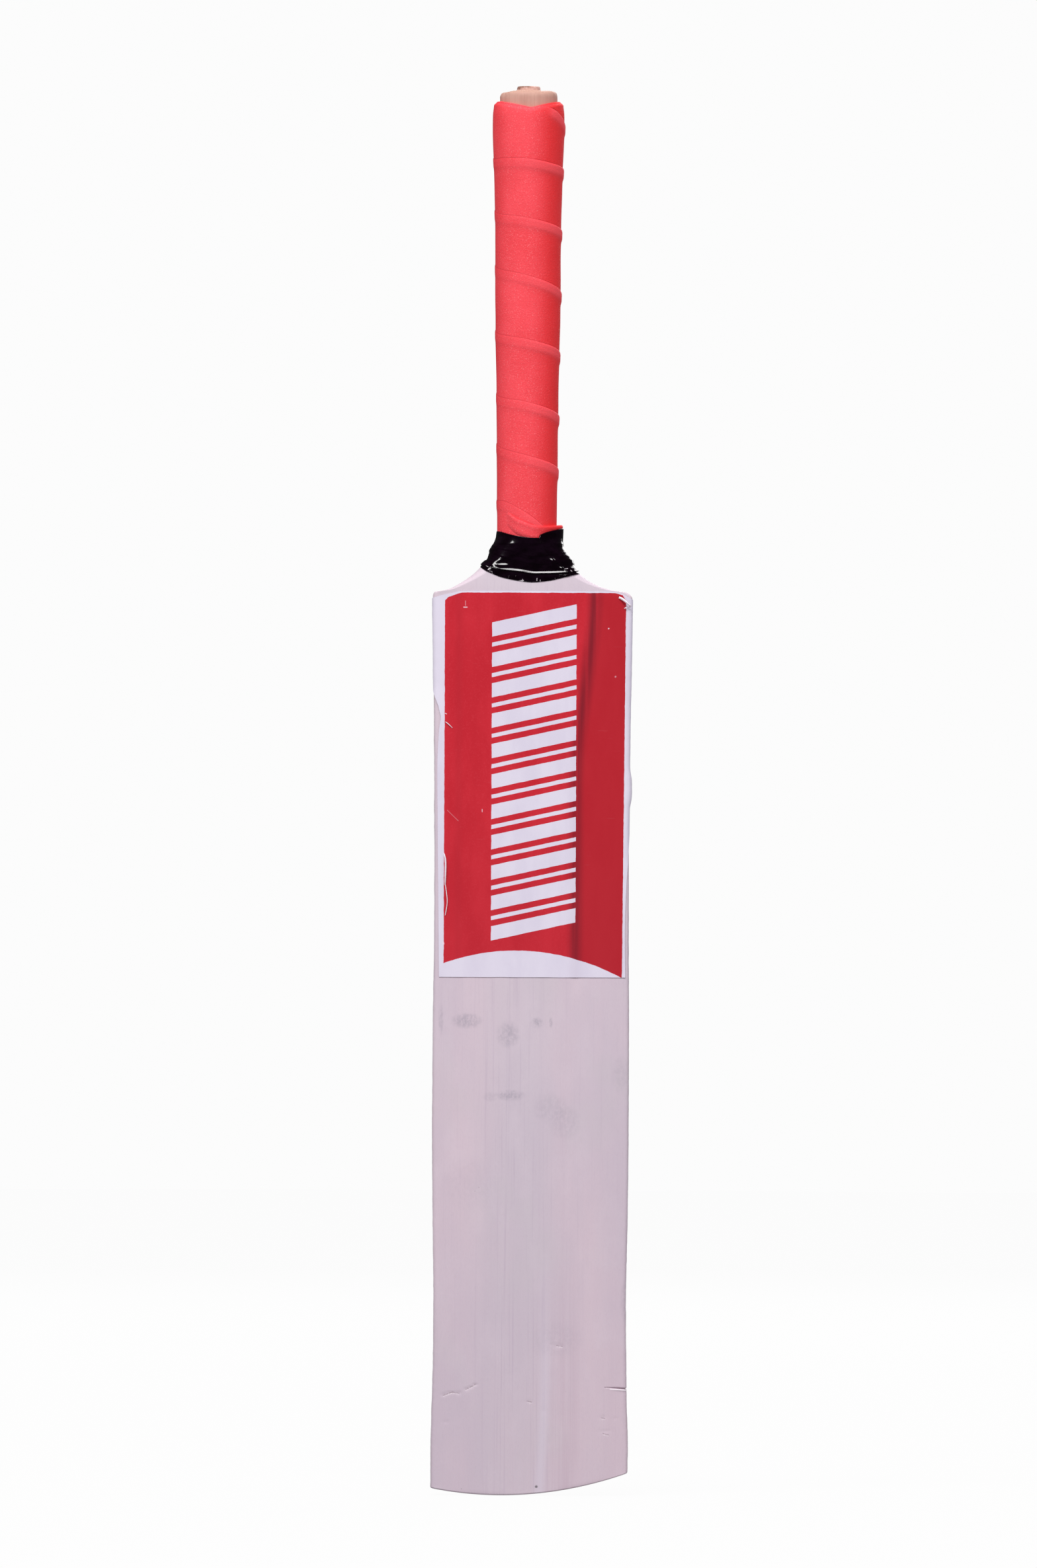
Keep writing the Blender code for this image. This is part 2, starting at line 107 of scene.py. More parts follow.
CANE_WIDTH_STOPS = (
    (NECK_TOP, SPLICE_HALF_WIDTH), (0.534, 0.014), (0.6, 0.0143), (0.7, 0.0148), (0.75, 0.0157),
)
CANE_DEPTH_STOPS = (
    (NECK_TOP, 0.0145), (0.6, 0.0145), (0.7, 0.0148), (0.75, 0.0157),
)

# Grip: radius up the handle, without the raised overlaps of the turns
GRIP_STOPS = (
    (0.5235, 0.0163), (0.536, 0.0163), (0.56, 0.0166), (0.6, 0.0169), (0.64, 0.0177), (0.69, 0.018),
    (0.72, 0.0187), (0.738, 0.0194), (0.752, 0.0195), (0.757, 0.019),
)
# Where each turn's free edge lies, as (turns from the left side, height). It dips across the front.
GRIP_SEAM = (
    (-0.5, 0.779), (0.0, 0.764), (0.25, 0.759), (0.375, 0.7552), (0.5, 0.7466), (1.0, 0.7286),
    (1.125, 0.7285), (1.25, 0.7282), (1.375, 0.7256), (1.5, 0.7225), (2.0, 0.7002), (2.25, 0.696),
    (2.5, 0.689), (3.0, 0.6703), (3.25, 0.6646), (3.5, 0.6552), (4.0, 0.6347), (4.25, 0.6298),
    (4.5, 0.6224), (5.0, 0.6005), (5.25, 0.5956), (5.5, 0.5882), (6.0, 0.5731), (6.25, 0.5665),
    (6.5, 0.5591), (7.0, 0.5422), (7.125, 0.5413), (7.25, 0.5351), (7.375, 0.5255), (7.5, 0.518),
    (8.0, 0.498),
)
GRIP_TOP_EDGE = (
    (-0.06, 0.7593), (0.0, 0.7592), (0.06, 0.7592), (0.1, 0.7588), (0.14, 0.7583), (0.18, 0.7576),
    (0.22, 0.7568), (0.25, 0.7561), (0.262, 0.7559), (0.275, 0.7561), (0.32, 0.7572), (0.36, 0.758),
    (0.4, 0.7586), (0.44, 0.759), (0.5, 0.7592), (0.94, 0.7593), (1.0, 0.7592),
)
GRIP_LOW_EDGE = 0.5195
GRIP_COLUMNS = 150
OVERLAP_STEP = 0.00055
TAIL_EDGE = (
    (0.1, 0.5362), (0.146, 0.535), (0.173, 0.5332), (0.2, 0.5315), (0.245, 0.5296), (0.288, 0.5281),
    (0.334, 0.5278), (0.43, 0.5282), (0.5, 0.5284), (0.7, 0.5272), (0.9, 0.5262),
)

# Black tape round the neck: its lower edge and ridge as (distance from the blade's middle, height)
TAPE_LOW_EDGE = (
    (-0.029, 0.506), (-0.026, 0.5038), (-0.0219, 0.5018), (-0.0165, 0.4998), (-0.0075, 0.498),
    (-0.0008, 0.4973), (0.0037, 0.4975), (0.0105, 0.4984), (0.0172, 0.5), (0.024, 0.5018),
    (0.026, 0.5024),
)
TAPE_RIDGE = (
    (-0.028, 0.5076), (-0.024, 0.5058), (-0.0197, 0.5047), (-0.0143, 0.504), (-0.0075, 0.5033),
    (-0.0003, 0.5022), (0.0048, 0.5022), (0.0127, 0.5024), (0.0196, 0.503), (0.0244, 0.504),
)
# Folds of the stretched tape: x, height, half width, half height, how far they stand out
TAPE_FOLDS = (
    (-0.0165, 0.5064, 0.0044, 0.001, 0.0005), (-0.0215, 0.504, 0.003, 0.0012, 0.0005),
    (0.015, 0.5008, 0.01, 0.0007, 0.00035), (0.013, 0.5092, 0.005, 0.0009, 0.0004),
    (0.014, 0.5118, 0.0014, 0.001, 0.00045), (-0.008, 0.512, 0.0016, 0.006, 0.0002),
    (0.019, 0.505, 0.006, 0.0007, 0.00035),
)
# Its upper edge on the front as (share of the way from the middle to the side, height)
TAPE_TOP_EDGE = ((-1.0, 0.5252), (-0.62, 0.5236), (-0.24, 0.5224), (0.14, 0.5216), (0.4, 0.5216))
TAPE_FLAP_EDGE = ((0.4, 0.5231), (0.64, 0.5247), (0.88, 0.5259), (1.0, 0.5267))
TAPE_FLAP_AT = 0.405
TAPE_CLEARANCE = 0.00015

# Label: its two upright edges as (height, distance from the blade's middle along its surface)
LABEL_LEFT = (
    (0.2822, 0.0502), (0.37, 0.0512), (0.4, 0.0514), (0.415, 0.0508), (0.4226, 0.0498),
    (0.4232, 0.0496), (0.433, 0.0522), (0.442, 0.056), (0.46, 0.061), (0.4925, 0.063),
)
LABEL_RIGHT = (
    (0.2822, 0.0512), (0.3067, 0.0509), (0.3294, 0.0514), (0.3427, 0.0522), (0.3607, 0.054),
    (0.3744, 0.058), (0.396, 0.062), (0.4925, 0.0635),
)
LABEL_TOP_EDGE = (
    (-0.063, 0.486), (-0.055, 0.4885), (-0.0485, 0.4903), (-0.041, 0.4918), (-0.037, 0.4925),
    (0.042, 0.4925), (0.046, 0.4921), (0.05, 0.4908), (0.053, 0.4888), (0.063, 0.485),
)
LABEL_LIFT = 0.0001
LABEL_THICKNESS = 0.00018
SHRED_THICKNESS = 0.00012

# Camera
VIEW_DISTANCE = 12.0
VIEW_CENTRE = Vector((-0.0073, FACE_Y, 0.3874))
VIEW_HEIGHT = 0.85392
VIEW_ROLL = radians(0.243)

# Light: how bright the surround is for the object, in its reflections, and to the camera
SURROUND_LIGHT = 0.5
SURROUND_GLOSS = 0.025
PAPER_WHITE = 0.973
FLOOR_GLOW = 0.956
FLOOR_Z = -0.0001


def smoothstep(low, high, value):
    """0 below low, 1 above high, and an eased step between them."""
    t = min(1.0, max(0.0, (value - low) / (high - low)))
    return t * t * (3 - 2 * t)


def mix(a, b, share):
    return a + (b - a) * share


def through(stops, at):
    """A smooth curve through (place, value) stops, level beyond the two ends."""
    if at <= stops[0][0]:
        return stops[0][1]
    if at >= stops[-1][0]:
        return stops[-1][1]
    i = max(k for k in range(len(stops) - 1) if stops[k][0] <= at)
    start, end = stops[i], stops[i + 1]
    before, after = stops[max(i - 1, 0)], stops[min(i + 2, len(stops) - 1)]
    span = end[0] - start[0]
    slope_in = (end[1] - before[1]) / (end[0] - before[0])
    slope_out = (after[1] - start[1]) / (after[0] - start[0])
    t = (at - start[0]) / span
    return (
        (2 * t**3 - 3 * t**2 + 1) * start[1]
        + (t**3 - 2 * t**2 + t) * span * slope_in
        + (3 * t**2 - 2 * t**3) * end[1]
        + (t**3 - t**2) * span * slope_out
    )


def straight(stops, at):
    """Straight lines through (place, value) stops, level beyond the two ends."""
    if at <= stops[0][0]:
        return stops[0][1]
    for start, end in zip(stops, stops[1:]):
        if at <= end[0]:
            return mix(start[1], end[1], (at - start[0]) / (end[0] - start[0]))
    return stops[-1][1]


def ripple(*place, seed=0.0):
    """Smooth noise from -1 to 1."""
    return noise.noise(Vector((place[0] + seed, place[1] + 2 * seed, place[2] - seed)))


def hump(away, reach, power=2):
    """1 at the middle, falling to nothing a little beyond its reach."""
    return exp(-((away / reach) ** power))


def steps(low, high, count):
    """The ends of count equal steps from low to high."""
    return [mix(low, high, k / count) for k in range(count + 1)]


# ---- the blade's form


def blade_centre(height):
    return HANDLE_OFFSET_X * smoothstep(BLADE_LENGTH, BLADE_LENGTH + 0.009, height)


def blade_half_width(height):
    if height <= BLADE_LENGTH:
        return through(WIDTH_STOPS, height)
    inner = WIDTH_STOPS[-1][1] - CORNER_IN
    if height <= SWEEP_START:
        rise = (height - BLADE_LENGTH) / CORNER_UP
        return inner + CORNER_IN * sqrt(max(0.0, 1 - rise * rise))
    drop = min(1.0, max(0.0, (NECK_TOP - height) / (NECK_TOP - SWEEP_START)))
    bow = (1 - drop**SWEEP_POWER) ** (1 / SWEEP_POWER)
    return inner - (inner - NECK_HALF_WIDTH) * bow


def face_y(x, height):
    beyond = max(0.0, abs(x) - FLAT_HALF_WIDTH) / (BLADE_HALF_WIDTH - FLAT_HALF_WIDTH)
    fall = FACE_FALL_BACK * smoothstep(BLADE_LENGTH, NECK_TOP, height)
    return FACE_Y + FACE_ROLL_OFF * beyond**2 + fall


def back_y(x, height):
    edge = through(EDGE_STOPS, height)
    spine = through(SPINE_STOPS, height)
    across = min(1.0, abs(x) / blade_half_width(height))
    return FACE_Y + edge + (spine - edge) * cos(pi / 2 * across) ** 2


def edge_radius(height):
    return mix(EDGE_RADIUS, NECK_RADIUS, smoothstep(BLADE_LENGTH, NECK_TOP, height))


def blade_walls(x, height):
    """Where the blade's front and back surfaces lie at x from its middle."""
    radius = edge_radius(height)
    run = blade_half_width(height) - radius
    beyond = min(radius, max(0.0, abs(x) - run))
    bulge = radius - sqrt(radius**2 - beyond**2)
    inside = min(abs(x), run)
    return face_y(inside, height) + bulge, back_y(inside, height) - bulge


def edge_waver(side, height):
    """How far a long edge strays from a clean line: slow waves, and the fuzz of sawn wood."""
    slow = 0.00022 * ripple(height * 34, side * 3.0, 0.0, seed=4.2)
    fine = 0.0001 * ripple(height * 420, side * 5.0, 0.0, seed=1.3)
    fade = 1 - smoothstep(BLADE_LENGTH, SWEEP_START + 0.006, height)
    return (slow + fine) * mix(0.25, 1.0, fade)


def surface_point(along, height, out=0.0):
    """A point on the blade's front or edge. along runs from its middle round the rounded edge."""
    side = copysign(1.0, along)
    reach = abs(along)
    radius = edge_radius(height)
    half = blade_half_width(height) + edge_waver(side, height)
    run = half - radius
    if reach <= run:
        x, y = reach, face_y(reach, height)
        normal = (0.0, -1.0)
    else:
        turn = min(pi / 2, (reach - run) / radius)
        down = max(0.0, reach - run - radius * pi / 2)
        x = run + radius * sin(turn)
        y = face_y(run, height) + radius * (1 - cos(turn)) + down
        normal = (sin(turn), -cos(turn))
    x += normal[0] * out
    y += normal[1] * out
    return Vector((side * x + blade_centre(height), y, height))


# Mesh columns across the blade, round a corner and down a side, and the same for the tape
BLADE_COUNTS = (132, 5, 6)
NECK_COUNTS = (60, 32, 6)
CRACK_Z = 0.059
CRACK_START_X = 0.0415
# Dents in the lower face: x, height, half width, half height, depth before DENT_SHARE
DENT_SHARE = 0.42
DENTS = (
    (-0.0466, 0.0545, 0.0012, 0.0009, 0.0007), (-0.0442, 0.0556, 0.001, 0.0007, 0.00065),
    (-0.0418, 0.056, 0.0014, 0.0006, 0.0006), (-0.0385, 0.0556, 0.0013, 0.001, 0.0006),
    (-0.0342, 0.0578, 0.001, 0.0009, 0.0006), (-0.0318, 0.0588, 0.001, 0.0008, 0.00065),
    (-0.0296, 0.0602, 0.0013, 0.0007, 0.00055), (0.0122, 0.0822, 0.001, 0.0006, 0.00045),
    (0.016, 0.0815, 0.0024, 0.001, 0.00045), (0.0, 0.051, 0.0016, 0.0009, 0.0003),
    (0.0078, 0.0458, 0.001, 0.0016, 0.0003), (-0.0455, 0.0395, 0.0016, 0.0009, 0.0003),
    (0.04, 0.042, 0.0018, 0.001, 0.00035), (0.0415, 0.0335, 0.0026, 0.0009, 0.00035),
    (0.047, 0.041, 0.0014, 0.0008, 0.0003), (0.011, 0.0285, 0.001, 0.002, 0.00025),
)


def pressed_in(x, height):
    """How deep the face is dented at a point."""
    depth = 0.0
    for dent_x, dent_z, half_width, half_height, deep in DENTS:
        u = (x - dent_x) / half_width
        v = (height - dent_z) / half_height
        reach = u * u + v * v
        if reach < 6:
            depth += DENT_SHARE * deep * exp(-reach)
    return depth


def crack_depth(x, height):
    """The slit that runs in from the right edge, with its lower lip turned out a little."""
    if x < CRACK_START_X:
        return 0.0
    centre = CRACK_Z - 0.0008 * (x - CRACK_START_X) / 0.011
    away = height - centre
    open_share = smoothstep(CRACK_START_X, 0.05, x)
    half = mix(0.00018, 0.00036, open_share)
    slit = mix(0.0005, 0.0013, open_share) * hump(away, half)
    lip = 0.0003 * hump(away + 0.0008, 0.0005)
    return slit - lip * open_share


def outline_at(height, half, counts, stray=0.0):
    """A section of the blade: face left to right, right edge, back right to left, left edge.

    counts are its columns across, points round a corner and steps down a side. Each point comes
    with its outward normal. stray is the share of the long edges' wear that shows.
    """
    columns, corners, sides = counts
    radius = edge_radius(height)
    run = half - radius
    low = face_y(run, height) + radius
    high = back_y(run, height) - radius
    centre = blade_centre(height)
    quarter = [pi / 2 * k / corners for k in range(corners + 1)]

    def edge(side):
        wider = stray * edge_waver(side, height)
        inner = run + wider
        points = []
        for a in quarter[1:]:
            points.append((inner + radius * sin(a), low - radius * cos(a), sin(a), -cos(a)))
        for k in range(1, sides):
            bulge = stray * 0.0002 * ripple(height * 90, k / sides * 4, side, seed=7.7)
            points.append((half + wider + bulge, mix(low, high, k / sides), 1.0, 0.0))
        for a in quarter[:-1]:
            points.append((inner + radius * cos(a), high + radius * sin(a), cos(a), sin(a)))
        return points

    def flat(y_at, normal_y):
        points = []
        for column in steps(-1.0, 1.0, columns):
            wider = stray * edge_waver(copysign(1.0, column), height) * abs(column) ** 8
            points.append((column * (run + wider), y_at(run * column, height), 0.0, normal_y))
        return points

    points = flat(face_y, -1.0) + edge(1.0) + flat(back_y, 1.0)[::-1]
    points += [(-x, y, -normal_x, normal_y) for x, y, normal_x, normal_y in reversed(edge(-1.0))]
    return [(x + centre, y, normal_x, normal_y) for x, y, normal_x, normal_y in points]


def blade_outline(height):
    half = blade_half_width(height) - HIDDEN_STEP_IN * smoothstep(0.509, 0.516, height)
    return [point[:2] for point in outline_at(height, half, BLADE_COUNTS, 1.0)]


def weathered(x, y, height):
    """The blade's point with its wear: crack, dents and the slight unevenness of a planed face."""
    front = smoothstep(0.006, 0.0, y - FACE_Y - FACE_FALL_BACK) if y > FACE_Y else 1.0
    y += front * pressed_in(x, height)
    slit = crack_depth(x, height)
    y += front * slit
    if x > 0.05:
        x -= 0.55 * max(0.0, slit)
    uneven = 0.0001 * ripple(x * 26, y * 26, height * 7, seed=9.1)
    y += uneven if y < 0 else -4 * uneven
    return x, y


def toe_rise(x, height):
    fade = max(0.0, 1 - height / TOE_FADE) ** 2
    return TOE_CURVE * (x - TOE_LOW_X) ** 2 * fade


def shrunk(outline, inset, depth):
    """The outline moved in by inset, about the middle of the toe."""
    half = max(abs(x) for x, y in outline)
    middle = FACE_Y + depth / 2
    narrower, thinner = (half - inset) / half, (depth / 2 - inset) / (depth / 2)
    return [(x * narrower, middle + (y - middle) * thinner) for x, y in outline]


def blade_heights():
    """Where the blade's rings lie: closest round the crack and the dents."""
    heights = steps(TOE_RADIUS, 0.024, 12) + steps(0.0248, 0.0896, 81)
    heights += steps(0.091, BLADE_LENGTH, 230)
    heights = [z for z in heights if abs(z - CRACK_Z) > 0.0021]
    heights += [CRACK_Z + step * 0.00022 for step in range(-9, 10)]
    heights += [BLADE_LENGTH + CORNER_UP * s for s in (0.2, 0.4, 0.55, 0.7, 0.8, 0.88, 0.94, 0.98)]
    heights += steps(SWEEP_START, HIDDEN_NECK, 30)
    return sorted(set(heights))


def object_from(name, body):
    """Puts a finished bmesh into the scene."""
    bmesh.ops.recalc_face_normals(body, faces=body.faces)
    mesh = bpy.data.meshes.new(name)
    body.to_mesh(mesh)
    body.free()
    made = bpy.data.objects.new(name, mesh)
    bpy.context.scene.collection.objects.link(made)
    return made


def soften(mesh, sharp_degrees):
    mesh.shade_smooth()
    mesh.set_sharp_from_angle(angle=radians(sharp_degrees))


def make_piece(name, body, material, node=None, sharp_degrees=50):
    """Turns a bmesh into a shaded piece that rides on the bat and stands for a CAD node."""
    piece = object_from(name, body)
    piece.data.materials.append(material)
    soften(piece.data, sharp_degrees)
    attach(piece, "root")
    if node:
        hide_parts(node)
    return piece


def rings_of(body, rows):
    """Vertices at the rows' points, row by row."""
    return [[body.verts.new(point) for point in row] for row in rows]


def wrap(body, rings):
    """Quads between rings of equal length that go all the way round."""
    count = len(rings[0])
    for low, high in zip(rings, rings[1:]):
        for k in range(count):
            after = (k + 1) % count
            body.faces.new((low[k], low[after], high[after], high[k]))


def solid(body, rows):
    """A closed solid through rows of points, flat at both ends."""
    rings = rings_of(body, rows)
    wrap(body, rings)
    body.faces.new(list(reversed(rings[0])))
    body.faces.new(rings[-1])
    return body


def carve(piece, operation, rows, sharp_degrees=40):
    """Cuts the piece with the solid through the rows."""
    cutter = object_from("cutter", solid(bmesh.new(), rows))
    cut = piece.modifiers.new("cut", "BOOLEAN")
    cut.operation = operation
    cut.solver = "EXACT"
    cut.object = cutter
    bpy.context.view_layer.update()
    graph = bpy.context.evaluated_depsgraph_get()
    mesh = bpy.data.meshes.new_from_object(piece.evaluated_get(graph))
    piece.modifiers.clear()
    mesh.name = piece.name
    piece.data = mesh
    soften(mesh, sharp_degrees)
    bpy.data.objects.remove(cutter)


def make_blade(look):
    body = bmesh.new()
    depth = through(EDGE_STOPS, 0.0)
    rows = []
    toe_outline = blade_outline(0.0)
    middle = FACE_Y + depth / 2
    for share in (0.0, 0.12, 0.3, 0.5, 0.7, 0.88):
        flat = shrunk(toe_outline, TOE_RADIUS, depth)
        rows.append([(x, middle + (y - middle) * share, toe_rise(x, 0.0)) for x, y in flat])
    for k in range(8):
        turn = pi / 2 * k / 8
        inset = TOE_RADIUS * (1 - sin(turn))
        rise = TOE_RADIUS * (1 - cos(turn))
        outline = shrunk(blade_outline(rise), inset, depth)
        rows.append([(x, y, rise + toe_rise(x, rise)) for x, y in outline])
    for z in blade_heights():
        row = []
        for x, y in blade_outline(z):
            x, y = weathered(x, y, z)
            row.append((x, y, z + toe_rise(x, z)))
        rows.append(row)
    rings = rings_of(body, rows)
    wrap(body, rings)
    body.faces.new(rings[-1])
    bmesh.ops.remove_doubles(body, verts=rings[0], dist=0.00002)
    blade = make_piece("blade_willow", body, look, "blade")
    # The V-shaped slot for the splice, open at the back
    slope = (SPLICE_HALF_WIDTH - SPLICE_TIP_HALF_WIDTH) / (NECK_TOP - SPLICE_TIP_Z)
    over = 0.010
    tip = SPLICE_TIP_HALF_WIDTH + JOINT
    top = SPLICE_HALF_WIDTH + JOINT + slope * over
    rows = []
    for z in (SPLICE_TIP_Z - JOINT, BLADE_LENGTH, 0.495, 0.502, 0.509, 0.515, NECK_TOP + over):
        share = (z - SPLICE_TIP_Z + JOINT) / (NECK_TOP + over - SPLICE_TIP_Z + JOINT)
        half = mix(tip, top, share)
        skin = face_y(0.0, z) + WASH_SKIN
        corners = ((-half, skin), (half, skin), (half, PAST_BACK_Y), (-half, PAST_BACK_Y))
        rows.append([(x + HANDLE_OFFSET_X, y, z) for x, y in corners])
    carve(blade, "DIFFERENCE", rows)
    return blade


# ---- the cane handle


CANE_COLUMNS = 96
CANE_TURNS = [2 * pi * (k + 0.5) / CANE_COLUMNS for k in range(CANE_COLUMNS)]
CANE_TURNS = [(cos(turn), sin(turn)) for turn in CANE_TURNS]


def handle_section(height):
    """The handle's outline: square in the splice, oval above it."""
    splice = min(height, NECK_TOP)
    share = (splice - SPLICE_TIP_Z) / (NECK_TOP - SPLICE_TIP_Z)
    wedge = mix(SPLICE_TIP_HALF_WIDTH, SPLICE_HALF_WIDTH, share)
    half_width = through(CANE_WIDTH_STOPS, height)
    half_depth = through(CANE_DEPTH_STOPS, height)
    roundness = smoothstep(0.507, 0.519, height)
    from_middle = HANDLE_OFFSET_X - blade_centre(splice)
    skin = face_y(0.0, splice) + WASH_SKIN + JOINT
    outline = []
    for c, s in CANE_TURNS:
        stretch = 1 / max(abs(c), abs(s))
        x = wedge * c * stretch
        face, back = blade_walls(x + from_middle, splice)
        y = mix(face, back, (s * stretch + 1) / 2)
        x = mix(x, half_width * c, roundness)
        y = max(skin, mix(y, HANDLE_Y + half_depth * s, roundness))
        outline.append((x + HANDLE_OFFSET_X, y))
    return outline


def end_drop(x, y):
    """How far the worn end of the handle lies below its highest level."""
    slant = 0.0007 * smoothstep(0.0085, 0.015, -x)
    dip = 0.0003 * hump(x - 0.009, 0.0025)
    rough = 0.00015 * ripple(x * 240, y * 240, 0.0, seed=3.4)
    return slant + dip + rough


# The worn rim of the end: distance in from the side, drop below the end
END_PROFILE = (
    (0.0, 0.005), (0.0, 0.0034), (0.0001, 0.0026), (0.0003, 0.0018), (0.0006, 0.0011),
    (0.0011, 0.0006), (0.0018, 0.00025), (0.0028, 0.00006), (0.0055, 0.0),
)
# The pip in its middle: radius, rise above the end
PIP_PROFILE = (
    (0.0079, 0.0), (PIP_RADIUS + 0.0005, 0.0002), (PIP_RADIUS, 0.0007),
    (PIP_RADIUS - 0.0001, 0.0016), (PIP_RADIUS - 0.0004, 0.0023), (PIP_RADIUS - 0.0012, 0.0026),
    (0.0032, 0.0026), (0.0014, 0.0025),
)


def handle_rows():
    """The handle's rings from the tip of the splice to the worn end and its pip."""
    heights = steps(SPLICE_TIP_Z, NECK_TOP, 44) + steps(NECK_TOP, ROUND_FROM, 6)[1:]
    heights += steps(ROUND_FROM, HANDLE_END - 0.006, 60)[1:]
    rows = [[(x, y, z) for x, y in handle_section(z)] for z in heights]
    top = handle_section(0.76)
    for inset, drop in END_PROFILE:
        row = []
        for x, y in top:
            from_x, from_y = x - HANDLE_OFFSET_X, y - HANDLE_Y
            scale = 1 - inset / hypot(from_x, from_y)
            x, y = HANDLE_OFFSET_X + from_x * scale, HANDLE_Y + from_y * scale
            chipped = end_drop(from_x, from_y) * smoothstep(0.0045, 0.0, drop)
            edge_wear = 0.00025 * ripple(x * 300, y * 300, drop * 500, seed=6.2)
            row.append((x + edge_wear * 0.6, y + edge_wear * 0.6, HANDLE_END - drop - chipped))
        rows.append(row)
    for radius, rise in PIP_PROFILE:
        row = []
        for c, s in CANE_TURNS:
            x, y = radius * c, radius * s
            rough = end_drop(x, y) * (1 - smoothstep(0.0, 0.0007, rise))
            rough += 0.00012 * abs(ripple(x * 500, y * 500, 2.0, seed=8.0))
            row.append((HANDLE_OFFSET_X + x, HANDLE_Y + y, HANDLE_END + rise - rough))
        rows.append(row)
    return rows


def make_canes(look):
    """Four slabs of cane with fine joints, grooved for the rubber strips between them."""
    rows = handle_rows()
    joints = [(k - 1) * STRIP_PITCH for k in range(3)]
    planes = [-0.04, *joints, 0.04]
    kerf = STRIP_THICKNESS / 2 + STRIP_CLEARANCE
    low, high, end = 0.35, 0.8, STRIP_TOP + STRIP_CLEARANCE
    for side, near, far in zip(("front", "front_middle", "back_middle", "back"), planes, planes[1:]):
        body = solid(bmesh.new(), rows)
        slab = make_piece(f"cane_slab_{side}", body, look, f"handle_cane_{side}", 35)
        grooved = [(near + kerf, low), (far - kerf, low), (far - kerf, end), (far - JOINT / 2, end)]
        whole = [(far - JOINT / 2, high), (near + JOINT / 2, high), (near + JOINT / 2, end)]
        profile = [*grooved, *whole, (near + kerf, end)]
        ends = [[(x, y + HANDLE_Y, z) for y, z in profile] for x in (-0.05, 0.05)]
        carve(slab, "INTERSECT", ends, 35)


# ---- the grip


# Distance below a turn's free edge, and how much of the overlap's thickness stands there
OVERLAP_PROFILE = (
    (0.00015, 0.4), (0.0004, 0.75), (0.00085, 0.95), (0.0015, 1.0), (0.0024, 0.94), (0.0034, 0.92),
    (0.0043, 0.86), (0.005, 0.66), (0.0057, 0.36), (0.0066, 0.14), (0.008, 0.03), (0.01, 0.0),
)
OPEN_ROWS = 9


def grip_top_edge(turn):
    return through(GRIP_TOP_EDGE, turn % 1.0)


def grip_seam(turn):
    return min(grip_top_edge(turn), max(GRIP_LOW_EDGE, through(GRIP_SEAM, turn)))


def around(turn, radius, height):
    """A point round the handle. Turns start at the left side and go across the front."""
    angle = pi + 2 * pi * turn
    x, y = radius * cos(angle), radius * sin(angle)
    return Vector((HANDLE_OFFSET_X + x, HANDLE_Y + y, height))


def grip_radius(turn, height):
    """The wound grip's surface between its overlaps, pressed a little unevenly."""
    base = through(GRIP_STOPS, height)
    slow = 0.00016 * ripple(cos(2 * pi * turn), sin(2 * pi * turn), height * 60)
    rounded = 0.0015 * (1 - smoothstep(0.0, 0.0022, grip_top_edge(turn) - height)) ** 2
    return base + slow - rounded


